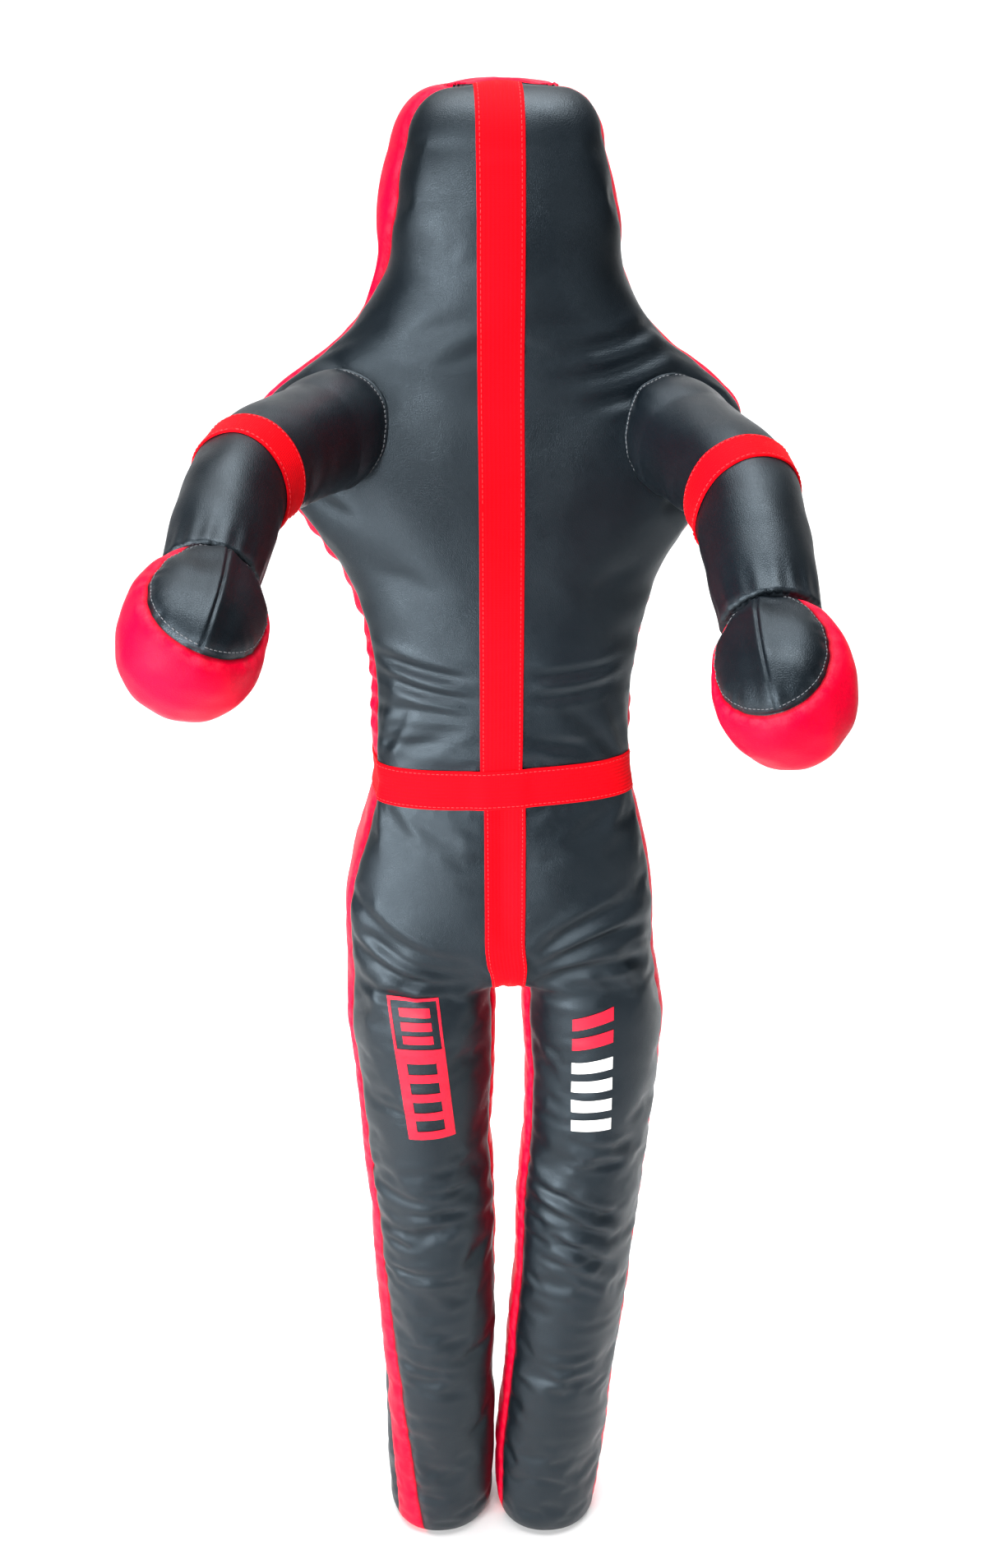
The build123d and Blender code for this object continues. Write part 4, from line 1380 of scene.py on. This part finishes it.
def decal(name, side, quads, finish):
    """Thin printed shapes laid on the front of a thigh, each a quad of (x, z) corners."""
    tree = tree_of(halves[side])
    points, faces = [], []
    for corners in quads:
        columns = max(3, int(np.linalg.norm(corners[1] - corners[0]) / PRINT_STEP) + 1)
        rows = max(3, int(np.linalg.norm(corners[3] - corners[0]) / PRINT_STEP) + 1)
        grid = np.zeros((rows, columns, 3))
        for r, t in enumerate(np.linspace(0, 1, rows)):
            for k, u in enumerate(np.linspace(0, 1, columns)):
                x, z = spot_in(corners, u, t)
                grid[r, k] = tree.ray_cast(Vector((x, -0.3, z)), Vector((0, 1, 0)))[0]
        patch = slab("patch", grid, finish, 0.0006, 0.0003)[0]
        start = len(points)
        points.extend(points_of(patch.data).tolist())
        faces.extend([tuple(start + v for v in p.vertices) for p in patch.data.polygons])
        bpy.data.objects.remove(patch)
    piece = new_object(name, points, faces)
    piece.data.set_sharp_from_angle(angle=math.radians(40))
    piece.data.materials.append(finish)
    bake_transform(piece)


def bar(panel, left, right, bottom, top, lean=0.0):
    """The (x, z) corners of one bar, given as shares of a panel, its right end raised by lean."""
    panel = [np.array(corner) for corner in panel]
    shares = [(left, bottom), (right, bottom + lean), (right, top + lean), (left, top)]
    return [spot_in(panel, u, t) for u, t in shares]


def prints():
    """Plain geometric stripes in the places where the real dummy carries its printing."""
    bars = [(0, 1, 0.975, 1.0), (0, 0.05, 0.66, 0.975), (0.95, 1, 0.66, 0.975), (0, 1, 0.62, 0.66)]
    bars += [(0.2, 0.8, z, z + 0.055) for z in (0.70, 0.79, 0.88)]
    bars += [(0, 0.2, 0, 0.62), (0.8, 1, 0, 0.62), (0.2, 0.8, 0, 0.06)]
    bars += [(0.2, 0.8, z, z + 0.06) for z in (0.14, 0.28, 0.42, 0.56)]
    decal("right_thigh_print_red", "right", [bar(RIGHT_PRINT, *b) for b in bars], RED_PRINT)
    for name, finish, heights in (
        ("left_thigh_print_white", WHITE_PRINT, (0.0, 0.155, 0.31, 0.465)),
        ("left_thigh_print_red", RED_PRINT, (0.66, 0.815)),
    ):
        decal(name, "left", [bar(LEFT_PRINT, 0, 1, z, z + 0.09, 0.06) for z in heights], finish)


prints()


# ---- Arms ----
def rotated_frame(direction, hint):
    """Two unit vectors square to a direction, the first near a hint."""
    first = (hint - direction * hint.dot(direction)).normalized()
    return first, direction.cross(first).normalized()


def node_points(name):
    return points_of(frame["nodes"][name].data)


def arm_line(side):
    """The arm's centre line from the chest to inside the glove, with its radii."""
    pivot = Vector(joint(f"{side}_shoulder_raise")["pos_m"])
    elbow = Vector(joint(f"{side}_elbow_bend")["pos_m"])
    glove_middle = Vector(node_points(f"{side}_glove_filling").mean(0))
    upper = (elbow - pivot).normalized()
    fore = (glove_middle - elbow).normalized()
    root = pivot - upper * PIVOT_OUT
    cover = node_points(f"{side}_forearm_cover") - np.array(elbow)
    wrist_at = float((cover @ np.array(fore)).max())
    length = (elbow - root).length
    total = length + wrist_at + 0.012
    along = np.arange(0, total + ARM_STEP / 2, ARM_STEP)
    before, after = elbow - upper * ELBOW_ROUND, elbow + fore * ELBOW_ROUND
    points = []
    for s in along:
        t = float((s - (length - ELBOW_ROUND)) / (2 * ELBOW_ROUND))
        if t <= 0:
            points.append(root + upper * float(s))
        elif t >= 1:
            points.append(elbow + fore * float(s - length))
        else:
            points.append((1 - t) ** 2 * before + 2 * t * (1 - t) * elbow + t * t * after)
    radius = np.interp(along, [0, length * 0.8, length, total], ARM_RADII[side])
    return points, radius, along, length, upper, fore, elbow


def arm_rings(points, radius, angles):
    """Rings of points square to the arm's line, each turned as little as possible from the last."""
    hint = Vector((0, 0, 1))
    rings = []
    for k, spot in enumerate(points):
        ahead = points[min(k + 1, len(points) - 1)] - points[max(k - 1, 0)]
        hint, second = rotated_frame(ahead.normalized(), hint)
        ring = [spot + float(radius[k]) * (math.cos(a) * hint + math.sin(a) * second) for a in angles]
        rings.append(np.array([tuple(p) for p in ring]))
    return rings


def chest_rings(base, upper):
    """Rings that lead from the chest's surface along the arm to its first clean ring."""
    direction = np.array(upper)
    chest = []
    for spot in base:
        hit = body_tree.ray_cast(Vector(spot), -upper, 0.16)[0]
        chest.append(spot - direction * 0.09 if hit is None else np.array(hit) - direction * 0.001)
    chest = base + smooth_loop(((np.array(chest) - base) @ direction)[:, None], 1.2) * direction
    rings = []
    for t in np.linspace(0, 1, LEAD_ROWS + 1)[:-1]:
        ring = chest * (1 - t) + base * t
        swell = 0.0035 * math.sin(math.pi * t) - 0.0015 * (1 - t) ** 6
        rings.append(ring + units(ring - ring.mean(0)) * swell)
    return rings


def shoulder_gathers(side, from_chest, around):
    """The small gathers and creases of the sleeve at the shoulder seam."""
    gather = 0.5 + 0.5 * np.sin(around * 23 + 1.3 * np.sin(around * 5))
    shift = -0.0010 * gather * np.exp(-((from_chest / 0.014) ** 2))
    random = np.random.default_rng(51 if side == "right" else 77)
    for _ in range(16):
        at, turn = random.uniform(0, 2 * math.pi), random.uniform(-0.5, 0.5)
        away = (around - at - turn * from_chest / 0.06 + math.pi) % (2 * math.pi) - math.pi
        reach = random.uniform(0.02, 0.055)
        shape = fold_profile(away / random.uniform(0.07, 0.14))
        shift += 0.0010 * shape * np.exp(-((from_chest / reach) ** 2))
    return shift


def arm_mesh(side, grid, seam, split_row):
    """The sleeve as a tube closed at the wrist, tagged with its two zones and its seam distance."""
    rows, count = grid.shape[:2]
    end = grid[-1].mean(0)
    everything = np.concatenate([grid.reshape(-1, 3), end[None, :]])
    faces = ring_faces(rows, count)
    last = (rows - 1) * count
    for c in range(0, count, 2):
        faces.append((last + c, rows * count, last + (c + 2) % count, last + c + 1))
    tube = new_object(f"{side}_arm", everything, [f[::-1] for f in faces])
    row = np.concatenate([np.repeat(np.arange(rows - 1), count), np.full(count // 2, rows)])
    face_tag(tube, "panel", np.zeros(len(row), int))
    face_tag(tube, "zone", (row >= split_row).astype(int))
    point_tag(tube, "seam", np.append(seam.ravel(), 0.05))
    subdivided(tube)
    return tube


def arm(side):
    """The sleeve of one arm as a closed tube, its rows of points, its directions and its elbow."""
    points, radius, along, length, upper, fore, elbow = arm_line(side)
    angles = np.linspace(0, 2 * math.pi, ARM_COLUMNS, endpoint=False)
    rings = arm_rings(points, radius, angles)
    start = int(ARM_BASE / ARM_STEP)
    grid = np.stack(chest_rings(rings[start], upper) + rings[start:])
    from_chest = np.linalg.norm(grid - grid[0], axis=2)
    lead_run = np.linspace(ARM_BASE - 0.06, ARM_BASE, LEAD_ROWS + 1)[:-1]
    run = np.concatenate([lead_run, along[start:]])[:, None]
    wrist = run[-1] - run

    out = units(grid - grid.mean(1, keepdims=True))
    inside = np.clip(out @ np.array((fore - upper).normalized()), 0, 1)
    around = angles[None, :]
    shift = shoulder_gathers(side, from_chest, around)
    for offset, size in ((-0.046, 0.5), (0.030, 1.0), (0.052, 0.55), (-0.072, 0.4)):
        wave = 0.006 * np.sin(around * 2 + 9 * offset)
        shift += ELBOW_CREASE * size * inside**1.5 * fold_profile((run - length - offset - wave) / 0.009)
    flat = grid.reshape(-1, 3)
    shift += 0.0017 * lumps(flat, 0.09, 61).reshape(shift.shape)
    shift += 0.0007 * lumps(flat, 0.04, 62).reshape(shift.shape)
    shift -= 0.0014 * (0.5 + 0.5 * np.sin(around * 17 + 2)) * np.exp(-(((wrist - 0.012) / 0.02) ** 2))
    grid = grid + out * shift[:, :, None]

    split_row = int(np.argmin(np.abs(run - length * UPPER_SPLIT)))
    return arm_mesh(side, grid, np.minimum(from_chest, wrist), split_row), grid, upper, fore, elbow


def band_grid(grid, origin, axis, width):
    """A ring of webbing round the arm, square to an axis at an origin."""
    offsets = ACROSS * width / 2
    columns = []
    for c in range(grid.shape[1]):
        run = np.maximum.accumulate((grid[:, c] - np.array(origin)) @ np.array(axis))
        columns.append(on_line(offsets, run, grid[:, c]))
    ring = np.stack(columns)
    middle = ring.mean(0, keepdims=True)
    out = ring - middle
    size = np.linalg.norm(out, axis=2, keepdims=True)
    return middle + out / size * np.maximum(size, smooth_loop(size[:, :, 0], 2.5)[:, :, None])


def stitch_line(grid, distance):
    """A closed line on the arm at one distance from its first row, and its outward directions."""
    line = []
    for c in range(grid.shape[1]):
        line.append(on_line(distance, run_of(grid[:, c]), grid[:, c], axis=0))
    line = smooth_loop(np.array(line), 1.0)
    out = units(line - line.mean(0))
    line = line + out * 0.0002
    return np.concatenate([line, line[:1]]), np.concatenate([out, out[:1]])


def piping(name, line, radius, finish):
    """A round cord along a closed line."""
    count, sides = len(line), 10
    along = units(np.roll(line, -1, 0) - np.roll(line, 1, 0))
    out = line - line.mean(0)
    out = units(out - along * (out * along).sum(1, keepdims=True))
    third = np.cross(along, out)
    points = []
    for a in np.linspace(0, 2 * math.pi, sides, endpoint=False):
        points.append(line + radius * (math.cos(a) * out + math.sin(a) * third))
    points = np.stack(points, 1).reshape(-1, 3)
    faces = []
    for k in range(count):
        n = (k + 1) % count
        for c in range(sides):
            d = (c + 1) % sides
            faces.append((k * sides + c, k * sides + d, n * sides + d, n * sides + c))
    obj = new_object(name, points, faces)
    point_tag(obj, "seam", np.full(len(points), 0.05))
    obj.data.materials.append(finish)
    return obj


def dressed_arm(side):
    """One arm's sleeves, its seam at the shoulder and its elbow band. Returns the forearm's direction."""
    tube, grid, upper, fore, elbow = arm(side)
    arm_body = f"{side}_upper_arm"
    pivot = Vector(joint(f"{side}_shoulder_raise")["pos_m"])
    shoulder_bends = ("torso", arm_body, pivot - upper * SHOULDER_ZONE, pivot + upper * SHOULDER_ZONE)
    elbow_bends = (arm_body, f"{side}_forearm", elbow - upper * ELBOW_ZONE, elbow + fore * ELBOW_ZONE)
    zone = tag_of(tube.data, "zone")
    for number, name, bends, nodes in (
        (0, "upper_sleeve", shoulder_bends, ["shoulder_fold", "upper_arm_filling", "upper_arm_cover"]),
        (1, "lower_sleeve", elbow_bends, ["elbow_fold", "forearm_filling", "forearm_cover"]),
    ):
        sleeve = cut(tube, f"{side}_{name}", zone == number, BLACK)
        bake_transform(sleeve)
        soft([f"{side}_{n}" for n in nodes])
    bpy.data.objects.remove(tube)

    line, flow = stitch_line(grid, 0.0065)
    row = thread(f"{side}_shoulder_stitches", line, flow, BLACK_THREAD, pitch=0.0046, radius=0.0006)
    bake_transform(row)
    welt = piping(f"{side}_shoulder_welt", smooth_loop(grid[0], 1.5), 0.0030, BLACK)
    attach(welt, "torso")
    bend = Vector(node_points(f"{side}_elbow_band").mean(0)) + upper * BAND_DROP[side]
    around = band_grid(grid, bend, (upper + fore * BAND_LEAN).normalized(), BAND_WIDTH)
    name = f"{side}_elbow_webbing"
    band, top, normal = slab(name, around, RED_WEB, 0.0004, WEBBING_THICK, loop=True, flip=True)
    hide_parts(f"{side}_elbow_band")
    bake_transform(band)
    for row in edge_stitches(name, top, normal, True):
        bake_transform(row)
    return fore


# ---- Gloves ----
def glove_reach(forward):
    """Distance from a glove's centre to its surface, along a ray with that share towards the fingers."""
    sideways = math.sqrt(max(0.0, 1 - forward * forward))
    long = GLOVE_NOSE if forward > 0 else GLOVE_HEEL
    total = (abs(forward) / long) ** GLOVE_POWER + (sideways / GLOVE_RADIUS) ** GLOVE_POWER
    reach = total ** (-1 / GLOVE_POWER)
    return min(reach, GLOVE_MOUTH_AT / -forward) if forward < 0 else reach


def glove_ball(side, fore, centre, palm, axis, across):
    """The plain ball of a glove, its palm and two back panels tagged, with its seam and rib distances."""
    rows, columns, palm_rows = 56, 96, 34
    points, seam, rib = [], [], []
    for r in range(rows + 1):
        latitude = PALM_SEAM_ANGLE * r / palm_rows
        if r > palm_rows:
            latitude = PALM_SEAM_ANGLE + (math.pi - PALM_SEAM_ANGLE) * (r - palm_rows) / (rows - palm_rows)
        for c in range(columns):
            turn = 2 * math.pi * c / columns
            round_about = axis * math.cos(turn) + across * math.sin(turn)
            ray = palm * math.cos(latitude) + round_about * math.sin(latitude)
            reach = glove_reach(ray.dot(fore))
            spot = ray * reach
            back = spot.dot(fore)
            aside = spot - fore * back
            collar = GLOVE_COLLAR[side] + max(0.0, back + GLOVE_MOUTH_AT) * 1.1
            if aside.length > collar:
                spot = fore * back + aside * (collar / aside.length)
            points.append(tuple(centre + spot))
            seam.append(abs(latitude - PALM_SEAM_ANGLE) * reach)
            from_rib = abs(math.sin(latitude) * math.sin(turn)) * reach
            rib.append(from_rib if latitude > PALM_SEAM_ANGLE else 1.0)
    faces = ring_faces(rows + 1, columns)
    row = np.repeat(np.arange(rows), columns)
    column = np.tile(np.arange(columns), rows)
    panel = np.where(row < palm_rows, 0, np.where(column < columns // 2, 1, 2))
    zones = np.zeros(len(faces), int)
    tags = np.column_stack([seam, rib])
    return welded(f"{side}_glove", np.array(points), faces, panel, zones, tags, False)


def glove(side, fore):
    """One stuffed glove as a finished ball, and its own frame: centre, palm, axis and across."""
    centre = Vector(node_points(f"{side}_glove_filling").mean(0))
    palm = Vector(GLOVE_PALM[side]).normalized()
    axis = (fore - palm * fore.dot(palm)).normalized()
    across = palm.cross(axis).normalized()
    ball = glove_ball(side, fore, centre, palm, axis, across)
    subdivided(ball)
    co, normals = points_of(ball.data), normals_of(ball.data)
    away = co - np.array(centre)
    if np.mean((away * normals).sum(1)) < 0:
        ball.data.flip_normals()
        normals = -normals
    seam, rib = tag_of(ball.data, "seam"), tag_of(ball.data, "seam_id")
    on_back = away @ np.array(palm) < math.cos(PALM_SEAM_ANGLE) * GLOVE_RADIUS
    shift = 0.0022 * lumps(co, 0.070, 81 if side == "right" else 92) + 0.0006 * lumps(co, 0.03, 83)
    shift -= 0.0026 * np.exp(-((seam / 0.0075) ** 2)) + 0.0012 * np.exp(-((seam / 0.002) ** 2))
    turned = np.arctan2(away @ np.array(across), away @ np.array(axis))
    gather = np.sin(turned * 19 + np.sin(turned * 7))
    shift -= 0.0009 * (0.5 + 0.5 * gather) * np.exp(-((seam / 0.013) ** 2))
    shift *= step(away @ np.array(fore), -GLOVE_MOUTH_AT, 0.012 - GLOVE_MOUTH_AT)
    raised_rib = 0.0036 * np.exp(-((rib / 0.009) ** 2)) - 0.0016 * np.exp(-((rib / 0.0013) ** 2))
    shift += np.where(on_back, raised_rib, 0)
    set_points(ball.data, co + normals * shift[:, None])
    return ball, centre, palm, axis, across


def palm_stitches(side, ball, centre, palm, axis, across):
    """Stitches beside the seam where the black back of a glove meets its red palm."""
    tree = tree_of(ball)
    line, flow = [], []
    latitude = PALM_SEAM_ANGLE + PALM_STITCH_OFFSET
    for turn in np.linspace(0, 2 * math.pi, 97):
        out = palm * math.cos(latitude)
        out = out + (axis * math.cos(turn) + across * math.sin(turn)) * math.sin(latitude)
        spot, normal, _, _ = tree.ray_cast(centre + out * 0.12, -out)
        line.append(tuple(spot + normal * 0.0001))
        flow.append(tuple(normal))
    return thread(f"{side}_palm_stitches", np.array(line), np.array(flow), BLACK_THREAD, pitch=0.0042)


GLOVE_PIECES = [  # name, panel, leather, CAD nodes
    ("palm_leather", 0, RED, ["glove_palm", "glove_filling"]),
    ("glove_back_a", 1, BLACK, ["glove_back_panels"]),
    ("glove_back_b", 2, BLACK, []),
]


def dressed_hand(side, fore):
    """One glove: its palm, its two back panels and the stitches between them."""
    ball, *glove_frame = glove(side, fore)
    for name, number, finish, nodes in GLOVE_PIECES:
        piece = cut(ball, f"{side}_{name}", tag_of(ball.data, "panel") == number, finish)
        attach(piece, f"{side}_forearm")
        soft([f"{side}_{n}" for n in nodes])
    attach(palm_stitches(side, ball, *glove_frame), f"{side}_forearm")
    bpy.data.objects.remove(ball)


for side in SIDES:
    dressed_hand(side, dressed_arm(side))

for skin in (trunk, *halves.values()):
    bpy.data.objects.remove(skin)


# ---- Zip ----
def zip_chain():
    """Two tapes with interlocking moulded teeth, over the stuffing opening."""
    low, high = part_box("back_zip_chain")
    centre = (low.x + high.x) / 2
    heights = np.arange(low.z, high.z + 0.0001, 0.004)
    grid = np.zeros((len(heights), 5, 3))
    for c, offset in enumerate(np.linspace(-ZIP_HALF_WIDTH, ZIP_HALF_WIDTH, 5)):
        grid[:, c] = np.stack(np.broadcast_arrays(centre + offset, low.y, heights), 1)
    tape = slab("zip_tape", grid, ZIP_TAPE, 0.0, 0.0008)[0]
    points, faces = [], []
    for number, z in enumerate(np.arange(low.z + 0.003, high.z - 0.003, 0.0024)):
        x = centre + (0.0012 if number % 2 else -0.0012)
        start = len(points)
        for y, size in ((low.y + 0.0006, 1.0), (high.y - 0.0008, 1.0), (high.y - 0.0002, 0.7)):
            for a, b in ((-1, -1), (1, -1), (1, 1), (-1, 1)):
                points.append((x + a * 0.0021 * size, y, z + b * 0.00095 * size))
        faces += ring_faces(3, 4, start)
        faces.append((start + 8, start + 11, start + 10, start + 9))
        faces.append((start, start + 1, start + 2, start + 3))
    teeth = new_object("zip_teeth", points, faces, smooth_faces=False)
    teeth.data.materials.append(ZIP_METAL)
    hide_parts("back_zip_chain")
    for piece in (tape, teeth):
        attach(piece, "torso")


zip_chain()
slider = frame["nodes"]["zip_slider"]
slider.data.materials.clear()
slider.data.materials.append(ZIP_METAL)
